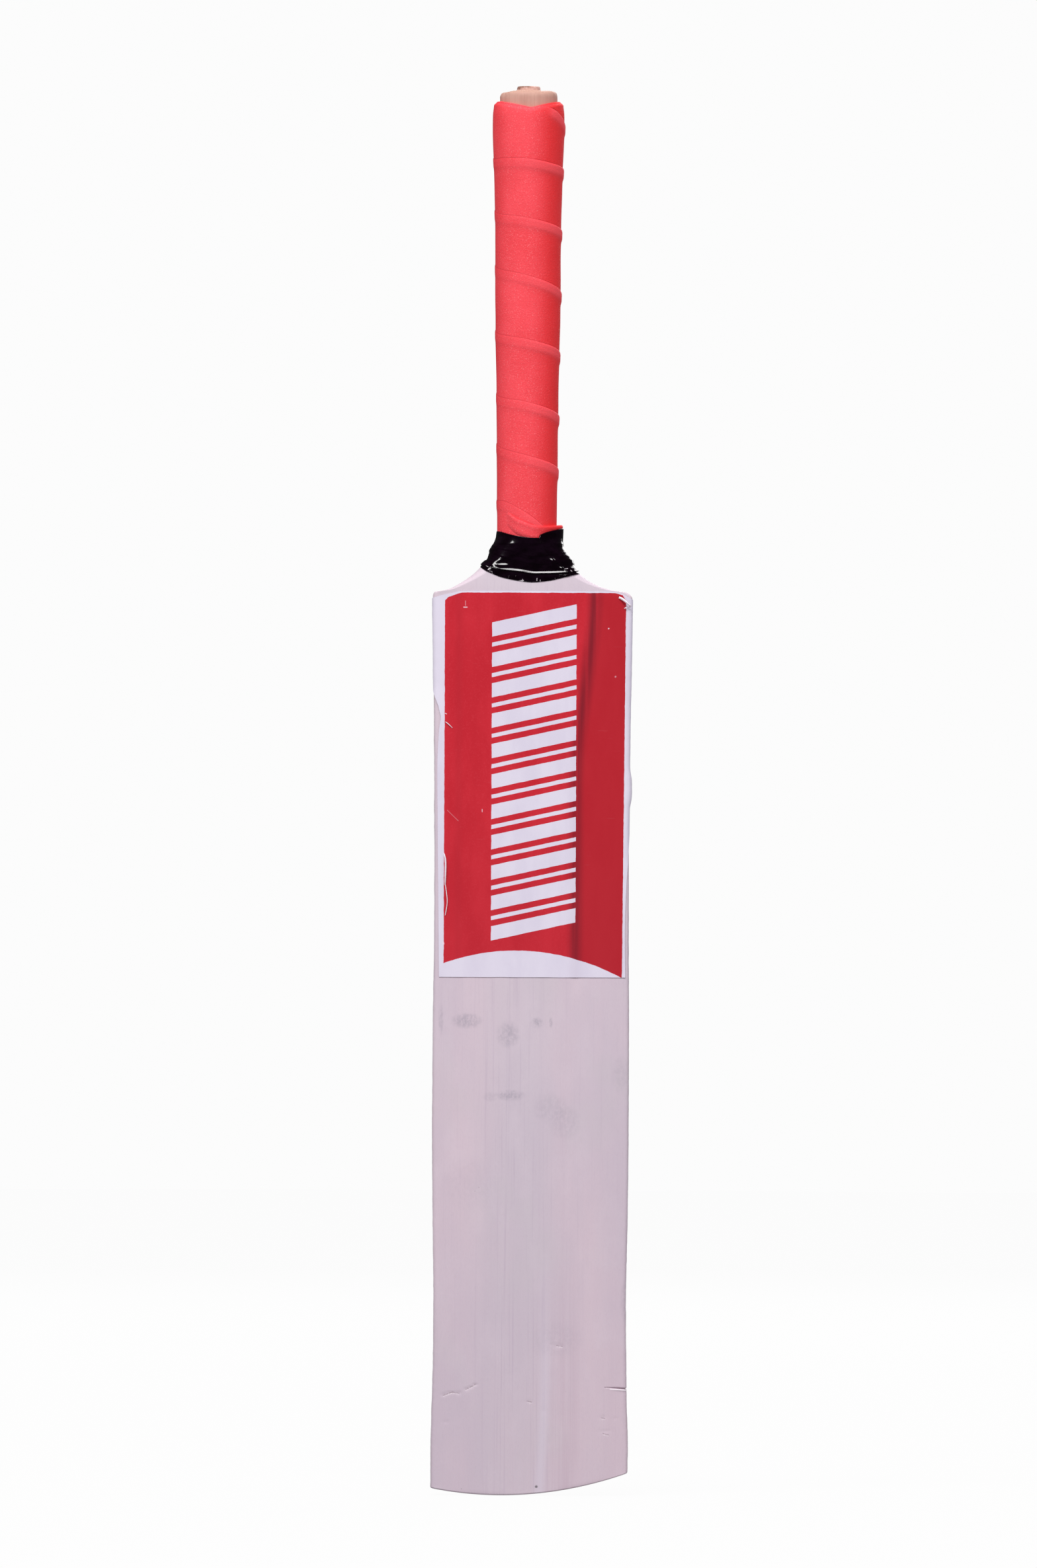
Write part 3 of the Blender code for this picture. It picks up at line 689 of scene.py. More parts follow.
def make_grip(look):
    """One strip wound round the handle. Each turn's upper edge lies over the turn above it."""
    turns = [t / 1000 for t in range(-500, 8500)]
    first = next(t for t in turns if through(GRIP_SEAM, t) <= grip_top_edge(t))
    last = next(t for t in turns if t >= 6 and through(GRIP_SEAM, t) <= GRIP_LOW_EDGE)
    strip = ceil((last - first + 1) * GRIP_COLUMNS)
    start = first - 1
    body = bmesh.new()
    overlap_highlight_layer = body.verts.layers.float.new("overlap_highlight")
    crease_shade_layer = body.verts.layers.float.new("crease_shade")
    turns = [start + i / GRIP_COLUMNS for i in range(strip + GRIP_COLUMNS + 1)]
    seam = [grip_seam(turn) for turn in turns]
    tops = [body.verts.new(around(t, grip_radius(t, z), z)) for t, z in zip(turns, seam)]
    for point, turn, z in zip(tops, turns, seam):
        # Painted shadow: a dark line along each turn's free edge, fading out at the grip's top edge.
        point[crease_shade_layer] = smoothstep(0.0, 0.0006, grip_top_edge(turn) - z)
    columns = []
    for i in range(strip + 1):
        turn, top, bottom = turns[i], seam[i], seam[i + GRIP_COLUMNS]
        span = top - bottom
        covered = OVERLAP_PROFILE[-1][0]
        squeeze = min(1.0, span * 0.6 / covered)
        stand = OVERLAP_STEP * smoothstep(first, first + 0.06, turn)
        stand *= smoothstep(0.0, 0.006, span) * (1.0 + 0.25 * ripple(turn * 2.3, 0.0, 0.0, seed=5.5))
        to_right = smoothstep(-0.9, 0.9, -cos(2 * pi * turn))
        stand *= mix(0.5, 1.25, to_right)
        column = [tops[i]]
        for j, (away, share) in enumerate(OVERLAP_PROFILE):
            z = top - away * squeeze
            radius = grip_radius(turn, z) + stand * share
            point = body.verts.new(around(turn, radius, z))
            # Painted shadow just below the free edge, on the left side only.
            point[crease_shade_layer] = (0.6, 0.35, 0.1)[j] * (1 - to_right) if j < 3 else 0.0
            # Painted highlight: the raised overlaps are coloured lighter, more so on the right.
            point[overlap_highlight_layer] = share * mix(0.08, 1.15, to_right) * min(1.0, stand / OVERLAP_STEP)
            column.append(point)
        open_top = top - covered * squeeze
        above_seam = min(0.0005, 0.3 * (open_top - bottom))
        for z in [*steps(open_top, bottom, OPEN_ROWS)[1:-1], bottom + above_seam]:
            column.append(body.verts.new(around(turn, grip_radius(turn, z), z)))
        column.append(tops[i + GRIP_COLUMNS])
        columns.append(column)
    for left, right in zip(columns, columns[1:]):
        for j in range(len(left) - 1):
            body.faces.new((left[j], right[j], right[j + 1], left[j + 1]))
    rim = []
    for inset, rise in ((0.0004, 0.00025), (0.0012, 0.00035), (0.0028, 0.0002), (0.0034, -0.0015)):
        row = []
        for i in range(GRIP_COLUMNS):
            turn, z = turns[i], seam[i]
            row.append(body.verts.new(around(turn, grip_radius(turn, z) - inset, z + rise)))
        rim.append(row)
    wrap(body, [tops[:GRIP_COLUMNS], *rim])
    add_tail(body)
    bmesh.ops.remove_doubles(body, verts=body.verts, dist=0.000004)
    bmesh.ops.dissolve_degenerate(body, edges=body.edges, dist=0.000002)
    return make_piece("grip_wrap", body, look, "grip_tape", 60)


# Down the cut end's section: distance below its edge, share of its thickness, share of its flare
TAIL_PROFILE = (
    (0.0006, -1.2, 0.0), (0.0001, 0.1, 0.45), (-0.00025, 0.55, 0.75), (-0.0003, 1.0, 0.9),
    (0.00005, 1.35, 1.0), (0.0007, 1.5, 1.05), (0.0015, 1.45, 1.0), (0.0024, 1.2, 0.85),
    (0.0036, 1.0, 0.55), (0.0052, 0.9, 0.25), (0.0075, 0.8, 0.0), (0.0095, -1.2, 0.0),
)


def add_tail(body):
    """The cut end of the grip, laid round once below the last turn, its upper edge standing free."""
    rows = []
    for k in range(121):
        turn = mix(0.1, 0.92, k / 120)
        edge = through(TAIL_EDGE, turn)
        grown = smoothstep(0.1, 0.2, turn) * (1 - smoothstep(0.8, 0.92, turn))
        flare = 0.002 * smoothstep(0.34, 0.47, turn) * (1 - smoothstep(0.53, 0.72, turn))
        row = []
        for away, share, lean in TAIL_PROFILE:
            radius = through(GRIP_STOPS, edge) + 0.00085 * share * grown - 0.0003 * (1 - grown)
            row.append(around(turn, radius + flare * lean, edge - away))
        rows.append(row)
    solid(body, rows)


# ---- the neck tape


# How far the tape stands out from the wood on each side, by height
TAPE_LEFT_BULGE = (
    (0.504, 0.0), (0.5062, -0.0001), (0.508, 0.0002), (0.509, 0.0), (0.51, -0.001),
    (0.5125, -0.0003), (0.515, 0.0004), (0.517, 0.0), (0.5182, -0.0008), (0.5209, -0.001),
    (0.5252, -0.0016),
)
TAPE_RIGHT_BULGE = (
    (0.501, -0.0004), (0.5029, -0.0002), (0.5047, 0.0), (0.5069, 0.0006), (0.5098, 0.0017),
    (0.5119, 0.0016), (0.5141, 0.0006), (0.5164, 0.0), (0.5206, 0.0006), (0.5263, 0.0008),
)


def neck_outline(height):
    level = min(height, NECK_TOP)
    return outline_at(level, blade_half_width(level), NECK_COUNTS)


def tape_edges(column, across, front):
    """The heights of the tape's lower edge, its ridge and its upper edge at one place round."""
    low = 0.5
    for _ in range(8):
        low = mix(low, through(TAPE_LOW_EDGE, neck_outline(low)[column][0]), 0.6)
    ridge = low + 0.004
    for _ in range(8):
        ridge = mix(ridge, through(TAPE_RIDGE, neck_outline(ridge)[column][0]), 0.6)
    ridge = max(low + 0.0014, ridge)
    if not front:
        top = mix(0.5252, 0.5262, smoothstep(-1.0, 1.0, across)) + 0.0006 * (1 - across**2)
    elif across < TAPE_FLAP_AT:
        top = through(TAPE_TOP_EDGE, across)
    else:
        top = through(TAPE_FLAP_EDGE, across)
    return low, ridge, top


def tape_fold(x, height):
    """How far the folds on the front stand out at a point."""
    proud = 0.0
    for fold_x, fold_z, half_width, half_height, most in TAPE_FOLDS:
        reach = ((x - fold_x) / half_width) ** 2 + ((height - fold_z) / half_height) ** 2
        proud += most * exp(-reach)
    return proud


def tape_thickness(x, c, s, height, low, ridge, top):
    """Thin where one turn shows below the ridge, thicker above it, and wrinkled by its stretch."""
    above = height - ridge
    thick = 0.0004 + 0.0004 * smoothstep(-0.00045, 0.0, above)
    thick += 0.00042 * (1 - min(1.0, abs(above) / (0.00115 if above > 0 else 0.00045)))
    if s < 0:
        thick += tape_fold(x, height)
    second = 0.00025 * smoothstep(0.0048, 0.0054, above + 0.0016 * c)
    third = 0.00025 * smoothstep(0.01, 0.0106, above - 0.0012 * s)
    folds = 0.0001 * ripple(c * 2.2, s * 2.2, height * 260, seed=2.1)
    folds += 0.00025 * ripple(c * 1.6, s * 1.6, height * 90, seed=8.8)
    front_flap = smoothstep(TAPE_FLAP_AT - 0.012, TAPE_FLAP_AT + 0.012, c)
    flap = 0.00035 * (front_flap if s < 0 else max(0.0, c))
    rounded = 0.00012 * (1 - smoothstep(0.0, 0.00012, top - height))
    rounded += 0.00025 * (1 - smoothstep(0.0, 0.0005, height - low))
    return thick + second + third + folds * smoothstep(0.0, 0.002, height - low) + flap - rounded


def make_neck_tape(look):
    """Black vinyl tape wound round the neck, closing in on the grip at its upper edge."""
    top_outline = neck_outline(NECK_TOP)
    count = len(top_outline)
    places = []
    for k, (x, y, _, _) in enumerate(top_outline):
        angle = atan2(y - HANDLE_Y, x - HANDLE_OFFSET_X)
        across = max(-1.0, min(1.0, (x - HANDLE_OFFSET_X) / NECK_HALF_WIDTH))
        front = y < HANDLE_Y
        places.append((across, cos(angle), sin(angle), tape_edges(k, across, front)))
    outlines = {}
    stretched = []

    def point(k, height, out):
        key = round(height, 4)
        if key not in outlines:
            outlines[key] = neck_outline(key)
        x, y, normal_x, normal_y = outlines[key][k]
        across, c, s, _ = places[k]
        bulge = straight(TAPE_RIGHT_BULGE if across > 0 else TAPE_LEFT_BULGE, height)
        out += bulge * abs(across) ** 3
        wood = Vector((x + normal_x * out, y + normal_y * out, height))
        round_radius = 0.0172 + out - 0.0006 + 0.0008 * max(0.0, c)
        on_grip = Vector((HANDLE_OFFSET_X + round_radius * c, HANDLE_Y + round_radius * s, height))
        return wood.lerp(on_grip, max(0.0, min(1.0, (height - 0.5185) / 0.0035)))

    def row(height_of, out_of):
        made = []
        for k in range(count):
            _, c, s, (low, ridge, top) = places[k]
            height = height_of(low, ridge, top)
            x = point(k, height, 0.0).x
            made.append(point(k, height, out_of(x, c, s, height, low, ridge, top)))
            pulled = hump(height - ridge - 0.0004, 0.0011)
            pulled += min(1.0, 3500 * tape_fold(x, height)) if s < 0 else 0.0
            stretched.append(min(1.0, pulled))
        return made

    def laid(*place):
        return TAPE_CLEARANCE + tape_thickness(*place)

    below, above = (0.0, 0.12, 0.3, 0.5, 0.7, 0.88), [*steps(0.0, 0.985, 69)[1:], 0.991, 0.996, 1.0]
    lifts = (-0.0004, -0.00022, -0.00008, 0.00006, 0.0002, 0.0004, 0.00065, 0.0009, 0.0012)
    rows = [row(lambda low, ridge, top: low + 0.0001, lambda *place: 0.00008)]
    rows += [row(lambda low, ridge, top: mix(low, ridge - 0.0004, share), laid) for share in below]
    rows += [row(lambda low, ridge, top: ridge + lift, laid) for lift in lifts]
    rows += [row(lambda low, ridge, top: mix(ridge + 0.0012, top, share), laid) for share in above]
    rows.append(row(lambda low, ridge, top: top, lambda *place: 0.0))
    rows.append(row(lambda low, ridge, top: top - 0.002, lambda *place: -0.0004))
    body = bmesh.new()
    taut = body.verts.layers.float.new("taut")
    rings = rings_of(body, rows)
    for point_made, share in zip((p for ring in rings for p in ring), stretched):
        point_made[taut] = share
    wrap(body, rings)
    return make_piece("neck_tape_wrap", body, look, "neck_tape", 60)


# ---- the label


LABEL_COLUMNS = 120
LABEL_ROWS = 170


def label_lift(along, height):
    """How far the label stands off the blade: laid flat, with slack where it has come unstuck."""
    lift = LABEL_LIFT
    band = 0.0237 + 0.0103 * smoothstep(0.385, 0.495, height)
    lift += 0.00018 * hump(along - band, 0.0022)
    lift += 0.00006 * (1 + ripple(along * 150, height * 40, 0.0, seed=3.3))
    peeled = hump(height - 0.385, 0.0085, 4)
    lift += 0.0011 * peeled * smoothstep(0.05, 0.056, along)
    lifted_left = hump(height - 0.424, 0.01)
    lift += 0.0005 * lifted_left * smoothstep(0.047, 0.05, -along)
    lift += 0.00012 * smoothstep(0.049, 0.052, abs(along)) * (1 + ripple(height * 130, along * 40, 5.0))
    return lift


def make_label(look):
    """A thin printed vinyl sheet over the face, folded round the edges where it still holds."""
    rows = []
    for i in range(LABEL_ROWS + 1):
        v = i / LABEL_ROWS
        upper, lower = [], []
        for k in range(LABEL_COLUMNS + 1):
            u = 2 * k / LABEL_COLUMNS - 1
            height = mix(LABEL_BOTTOM, LABEL_TOP, v)
            stops = LABEL_RIGHT if u > 0 else LABEL_LEFT
            for _ in range(2):
                along = u * through(stops, height)
                edge_top = through(LABEL_TOP_EDGE, along)
                height = mix(LABEL_BOTTOM, edge_top, v)
            height += 0.0002 * (1 - abs(u)) * (v == 0) * ripple(along * 90, 0.0, 0.0, seed=1.0)
            lift = label_lift(along, height)
            upper.append(surface_point(along, height, lift + LABEL_THICKNESS))
            lower.append(surface_point(along, height, lift))
        rows.append(upper + lower[::-1])
    body = bmesh.new()
    rings = rings_of(body, rows)
    wrap(body, rings)
    for end in (rings[0], rings[-1]):
        for k in range(LABEL_COLUMNS):
            body.faces.new((end[k], end[k + 1], end[-k - 2], end[-k - 1]))
    return make_piece("label_sheet", body, look, "face_label", 40)


# Shreds of the label's border that have torn loose: ribbons along (x, height, stand-off, width)
SHREDS = {
    "corner": (
        (0.047, 0.4893, 0.0004, 0.0011), (0.0488, 0.4884, 0.0012, 0.0012),
        (0.0504, 0.4872, 0.002, 0.0011), (0.0518, 0.4858, 0.0022, 0.001),
        (0.0527, 0.4846, 0.0014, 0.0012), (0.0522, 0.4838, 0.0006, 0.0008),
    ),
    "corner_small": (
        (0.0499, 0.4832, 0.0004, 0.0005), (0.0508, 0.4836, 0.001, 0.0006),
        (0.0516, 0.4834, 0.0006, 0.0004),
    ),
    "left_upper": (
        (-0.0478, 0.3496, 0.0003, 0.0005), (-0.0473, 0.348, 0.0007, 0.0007),
        (-0.0469, 0.3456, 0.001, 0.0008), (-0.0468, 0.342, 0.0011, 0.0008),
        (-0.0469, 0.338, 0.001, 0.0008), (-0.047, 0.3345, 0.0007, 0.0007),
        (-0.047, 0.3321, 0.0003, 0.0004),
    ),
    "left_lower": (
        (-0.0469, 0.3325, 0.0003, 0.0003), (-0.0464, 0.329, 0.0007, 0.0004),
        (-0.0459, 0.325, 0.0008, 0.0004), (-0.0459, 0.322, 0.0008, 0.0004),
        (-0.0464, 0.3185, 0.0006, 0.0004), (-0.0469, 0.3157, 0.0003, 0.0003),
    ),
    "left_hair": (
        (-0.0472, 0.4211, 0.0003, 0.0003), (-0.0455, 0.4198, 0.0006, 0.0004),
        (-0.0434, 0.4178, 0.0003, 0.0002),
    ),
}


def make_shreds(look):
    """Each shred is a thin ribbon, bowed a little along its middle."""
    for name, stations in SHREDS.items():
        last = len(stations) - 1
        tracks = [list(enumerate(column)) for column in zip(*stations)]
        sections = []
        for at in steps(0.0, last, 5 * last):
            x, z, stand, width = (through(track, at) for track in tracks)
            ahead, behind = min(at + 0.05, last), max(at - 0.05, 0.0)
            run_x, run_z = (through(track, ahead) - through(track, behind) for track in tracks[:2])
            across = Vector((run_z, 0.0, -run_x)).normalized() * width / 2
            base = surface_point(x, z, LABEL_LIFT + LABEL_THICKNESS + stand)
            curl = 0.35 * width
            corners = []
            under = ((-1, 0.0), (0, curl), (1, 0.0))
            over = [(side, lift + SHRED_THICKNESS) for side, lift in reversed(under)]
            for side, lift in (*under, *over):
                corners.append(base + across * side + Vector((0.0, -lift, 0.0)))
            sections.append(corners)
        body = solid(bmesh.new(), sections)
        make_piece(f"label_shred_{name}", body, look)


# ---- materials


class Signal:
    """A value or colour in a material's node tree. Arithmetic on it adds Math nodes."""

    def __init__(self, look, socket):
        self.look, self.socket = look, socket

    def __add__(self, other):
        return self.look.maths("ADD", self, other)

    def __sub__(self, other):
        return self.look.maths("SUBTRACT", self, other)

    def __rsub__(self, other):
        return self.look.maths("SUBTRACT", other, self)

    def __mul__(self, other):
        return self.look.maths("MULTIPLY", self, other)

    def __abs__(self):
        return self.look.maths("ABSOLUTE", self)

    def ease(self, low, high, start=0.0, end=1.0):
        """An eased step from start to end as the value goes from low to high."""
        inputs = {"Value": self, "From Min": low, "From Max": high, "To Min": start, "To Max": end}
        return self.look.node("MapRange", inputs, interpolation_type="SMOOTHSTEP")

    def tint(self, share, colour):
        """Lays another colour over this one."""
        self.socket = self.look.colour(share, self, colour).socket


class Look:
    """A procedural material: one Principled shader fed from the object's own coordinates, in metres."""

    def __init__(self, name, specular, more={}):
        self.material = bpy.data.materials.new(name)
        self.material.use_nodes = True
        self.tree = self.material.node_tree
        self.shader = self.tree.nodes["Principled BSDF"]
        for socket, value in {"Specular IOR Level": specular, **more}.items():
            self.shader.inputs[socket].default_value = value
        self.place = self.node("TexCoord", {}, "Object")
        self.x, self.y, self.z = (self.node("SeparateXYZ", {0: self.place}, k) for k in range(3))

    def node(self, kind, inputs, output=0, **settings):
        made = self.tree.nodes.new("ShaderNode" + kind)
        for key, value in settings.items():
            setattr(made, key, value)
        for key, value in inputs.items():
            if isinstance(value, Signal):
                self.tree.links.new(value.socket, made.inputs[key])
            else:
                made.inputs[key].default_value = value
        return Signal(self, made.outputs[output])

    def maths(self, operation, *values):
        return self.node("Math", dict(enumerate(values)), operation=operation)

    def scaled(self, place, scales):
        scales = scales if isinstance(scales, tuple) else (scales,) * 3
        return self.node("VectorMath", {0: place, 1: scales}, operation="MULTIPLY")

    def noise(self, scales, detail=3.0, roughness=0.5, shift=0.0):
        """Noise with its own number of features a metre, one number or one for each of x, y and z."""
        moved = self.node("VectorMath", {0: self.place, 1: (shift,) * 3}, operation="ADD")
        inputs = {"Scale": 1.0, "Detail": detail, "Roughness": roughness}
        return self.node("TexNoise", {"Vector": self.scaled(moved, scales), **inputs})

    def cells(self, scales):
        inputs = {"Vector": self.scaled(self.place, scales), "Scale": 1.0}
        return self.node("TexVoronoi", inputs, "Distance")

    def colour(self, share, first, second, blend="MIX"):
        first, second = ((*c, 1.0) if isinstance(c, tuple) else c for c in (first, second))
        inputs = {0: share, 6: first, 7: second}
        return self.node("Mix", inputs, 2, data_type="RGBA", blend_type=blend)

    def layer(self, name):
        """A mesh attribute written while the piece was built."""
        return self.node("Attribute", {}, "Fac", attribute_name=name)

    def normal_z(self):
        return self.node("SeparateXYZ", {0: self.node("TexCoord", {}, "Normal")}, 2)

    def line_away(self, x, z, other_x, other_z):
        """Distance from a straight stroke between two points of the face."""
        run_x, run_z = other_x - x, other_z - z
        length = hypot(run_x, run_z)
        from_x, from_z = self.x - x, self.z - z
        along = from_x * (run_x / length) + from_z * (run_z / length)
        held = self.node("Clamp", {"Value": along, "Min": 0.0, "Max": length})
        left_x = from_x - held * (run_x / length)
        left_z = from_z - held * (run_z / length)
        return self.maths("SQRT", left_x * left_x + left_z * left_z)

    def spot(self, x, z, half_width, half_height):
        """1 in the middle of a soft oval on the face, fading to 0 at its rim."""
        u = (self.x - x) * (1 / half_width)
        v = (self.z - z) * (1 / half_height)
        return (u * u + v * v).ease(1.0, 0.0)

    def feed(self, socket, signal):
        self.tree.links.new(signal.socket, self.shader.inputs[socket])

    def finished(self, tone, rough, relief, distance, strength):
        """Connects colour, roughness and a bump of the given depth; returns the material."""
        self.feed("Base Color", tone)
        self.feed("Roughness", rough)
        inputs = {"Height": relief, "Distance": distance, "Strength": strength}
        self.feed("Normal", self.node("Bump", inputs))
        return self.material


def wood_finish(look):
    """The whitewash on the wood: its colour, with grain, streaks and haze, a painted shade towards the
    toe, and its noises.
    """
    broad = look.noise((26, 16, 7), 4.0, 0.55)
    band = look.noise((150, 90, 3.2), 4.0, 0.55, 0.37)
    grain = look.noise((900, 500, 11), 4.0, 0.65, 0.11)
    mottle = look.noise((70, 70, 38), 5.0, 0.6, 0.7)
    fine = look.noise((1500, 1500, 500), 2.0, 0.5, 0.2)
    haze = look.noise((34, 34, 20), 4.0, 0.6, 0.9)
    tone = look.colour(broad.ease(0.3, 0.7), (0.59, 0.51, 0.59), (0.65, 0.54, 0.612))
    centre_band = look.x.ease(-0.04, -0.012) * look.x.ease(0.022, 0.0)
    tone.tint(centre_band * 0.45, (0.59, 0.535, 0.605))
    tone.tint(band.ease(0.45, 0.75) * 0.14, (0.545, 0.445, 0.535))
    tone.tint(grain.ease(0.52, 0.72) * (centre_band * 0.27 + 0.13), (0.47, 0.39, 0.49))
    tone.tint(mottle.ease(0.45, 0.75) * 0.22, (0.69, 0.61, 0.68))
    tone.tint(fine.ease(0.45, 0.75) * 0.12, (0.48, 0.4, 0.48))
    tone.tint(haze.ease(0.5, 0.72) * 0.2, (0.56, 0.53, 0.56))
    # Painted shade: the wood is darker towards the toe, as the light falls from above.
    toe_shade_ends = ((1.01, 0.92), (1.005, 0.892), (1.0, 0.9))
    toe_shade = look.node("CombineColor", {k: look.z.ease(0.5, 0.0, *ends) for k, ends in enumerate(toe_shade_ends)})
    return look.colour(1.0, tone, toe_shade, "MULTIPLY"), grain, fine, mottle


# Scuffs on the face: x, height, half width, half height, strength
SCUFFS = (
    (-0.0348, 0.2583, 0.01, 0.005, 0.34), (-0.0122, 0.2509, 0.0075, 0.0085, 0.3),
    (0.0033, 0.2574, 0.004, 0.0036, 0.34), (0.0109, 0.2578, 0.0012, 0.0036, 0.34),
    (-0.011, 0.2178, 0.0095, 0.0036, 0.32), (-0.022, 0.217, 0.005, 0.003, 0.16),
    (0.011, 0.211, 0.012, 0.01, 0.13), (0.019, 0.203, 0.0105, 0.011, 0.13),
    (0.049, 0.2293, 0.006, 0.012, 0.12), (0.052, 0.1062, 0.0032, 0.014, 0.2),
    (-0.049, 0.259, 0.0018, 0.01, 0.22), (0.015, 0.085, 0.017, 0.012, 0.09),
    (-0.033, 0.17, 0.02, 0.018, 0.06),
)
# Short splits in the face, drawn in painted shade with a painted highlight on the lower lip: x and
# height of both ends
SPLITS = (
    (-0.0468, 0.0543, -0.042, 0.0561), (-0.042, 0.0561, -0.0384, 0.0555),
    (-0.0345, 0.0576, -0.0293, 0.0603), (0.0146, 0.0817, 0.0178, 0.0812),
    (-0.0013, 0.0514, 0.0012, 0.0508), (0.0392, 0.0424, 0.0411, 0.042),
    (0.0402, 0.0338, 0.0432, 0.0331),
)
# Lint caught in the tape: x and height of both ends, half width
THREADS = (
    (-0.0244, 0.504, -0.0233, 0.5054, 0.0003), (-0.0236, 0.5034, -0.0222, 0.503, 0.00022),
    (-0.0221, 0.5022, -0.0217, 0.5014, 0.0002), (-0.0076, 0.4978, -0.0052, 0.4982, 0.00045),
    (-0.0056, 0.499, -0.0055, 0.4977, 0.00018), (0.0022, 0.4982, 0.0023, 0.4994, 0.00028),
    (0.004, 0.4986, 0.0041, 0.4979, 0.00018), (0.0172, 0.5046, 0.019, 0.5049, 0.00022),
    (0.0206, 0.504, 0.0213, 0.5034, 0.00025), (0.0232, 0.504, 0.0246, 0.5027, 0.00022),
    (-0.0254, 0.5062, -0.0243, 0.5056, 0.00018),
)
# Scratches in the label, and a painted glint (the second and third): x and height of both ends, half
# width, strength
SCRATCHES_AND_GLINT = (
    (-0.0475, 0.4258, -0.0466, 0.4254, 0.00025, 0.9),
    (-0.0375, 0.4836, -0.0357, 0.4836, 0.00035, 0.9),
    (-0.0366, 0.487, -0.0366, 0.4845, 0.00025, 0.35), (0.0414, 0.4722, 0.0415, 0.4723, 0.0005, 0.8),
    (0.0452, 0.446, 0.0453, 0.4461, 0.0006, 0.4), (-0.027, 0.3735, -0.027, 0.3722, 0.0003, 0.7),
    (-0.046, 0.373, -0.04, 0.3672, 0.00022, 0.22), (-0.048, 0.301, -0.0478, 0.3002, 0.0007, 0.9),
)


def willow():
    """Whitewashed willow, streaked, scuffed and split on the face, grimy along its long edges, with
    painted shade in the splits and over the shoulders and neck, and painted highlights on the lips of
    the splits and the crack.
    """
    look = Look("willow_whitewashed", 0.32, {"Sheen Weight": 0.06, "Sheen Roughness": 0.5})
    tone, grain, fine, mottle = wood_finish(look)
    low = look.z.ease(0.15, 0.015)
    front = look.y.ease(-0.012, -0.02)
    wandering_x = look.x + (look.noise((8, 8, 9), 2.0) - 0.5) * 0.012
    streak = abs(wandering_x - 0.0195).ease(0.011, 0.002)
    streak = streak * look.noise((620, 300, 7), 5.0, 0.7, 0.9).ease(0.3, 0.72)
    tone.tint(streak * (low * 0.44 + 0.06) * front, (0.47, 0.345, 0.42))
    pale = abs(wandering_x - 0.0072).ease(0.0048, 0.0)
    tone.tint(pale * low * front * 0.34, (0.64, 0.59, 0.7))
    flecks = look.noise((520, 520, 380), 4.0, 0.7, 0.5).ease(0.36, 0.62)
    for *oval, strength in SCUFFS:
        tone.tint(look.spot(*oval) * (flecks + 0.25) * strength * front, (0.255, 0.235, 0.295))
    specks = look.cells(150).ease(0.06, 0.035)
    rare = look.noise(24, 2.0, 0.5, 0.3).ease(0.58, 0.66)
    tone.tint(specks * rare * 0.5, (0.28, 0.23, 0.25))
    ragged = look.noise(1900, 3.0, 0.7, 0.2).ease(0.4, 0.56)
    # Painted shade in each split's dark opening, and a painted highlight along its lower lip.
    for x, z, other_x, other_z in SPLITS:
        cut = look.line_away(x, z, other_x, other_z).ease(0.00042, 0.00016)
        split_lip_highlight = look.line_away(x, z - 0.0006, other_x, other_z - 0.0006).ease(0.00036, 0.00012)
        tone.tint(split_lip_highlight * ragged * front * 0.55, (0.82, 0.745, 0.79))
        tone.tint(cut * ragged * front * 0.75, (0.3, 0.225, 0.26))
    tone.tint(look.spot(0.004, 0.0048, 0.0011, 0.001) * 0.8, (0.1, 0.085, 0.095))
    # Painted highlight along the lower lip of the crack in the right edge.
    lip = look.line_away(0.044, CRACK_Z - 0.001, 0.0535, CRACK_Z - 0.0017).ease(0.00045, 0.00015)
    tone.tint(lip * front * 0.8, (0.86, 0.8, 0.85))
    # Painted shade: the shoulders and neck above the blade are greyed, against the light on their
    # upturned faces.
    tone.tint(look.z.ease(BLADE_LENGTH, SWEEP_START) * 0.31, (0.5, 0.44, 0.49))
    side = abs(look.x).ease(0.0522, 0.0545)
    grime = look.noise((160, 160, 130), 5.0, 0.7, 0.6).ease(0.42, 0.66)
    tone.tint(side * (grime * 0.5 + 0.16), (0.4, 0.345, 0.35))
    rings = look.noise((520, 60, 30), 3.0, 0.6, 0.4).ease(0.44, 0.6)
    end_wood = look.colour(rings, (0.5, 0.38, 0.33), (0.33, 0.235, 0.2))
    tone.tint(look.normal_z().ease(-0.86, -0.98) * 0.55, end_wood)
    relief = grain * 0.7 + fine * 0.25 + mottle * 0.35
    return look.finished(tone, mottle.ease(0.3, 0.75, 0.5, 0.66), relief, 0.00016, 0.55)


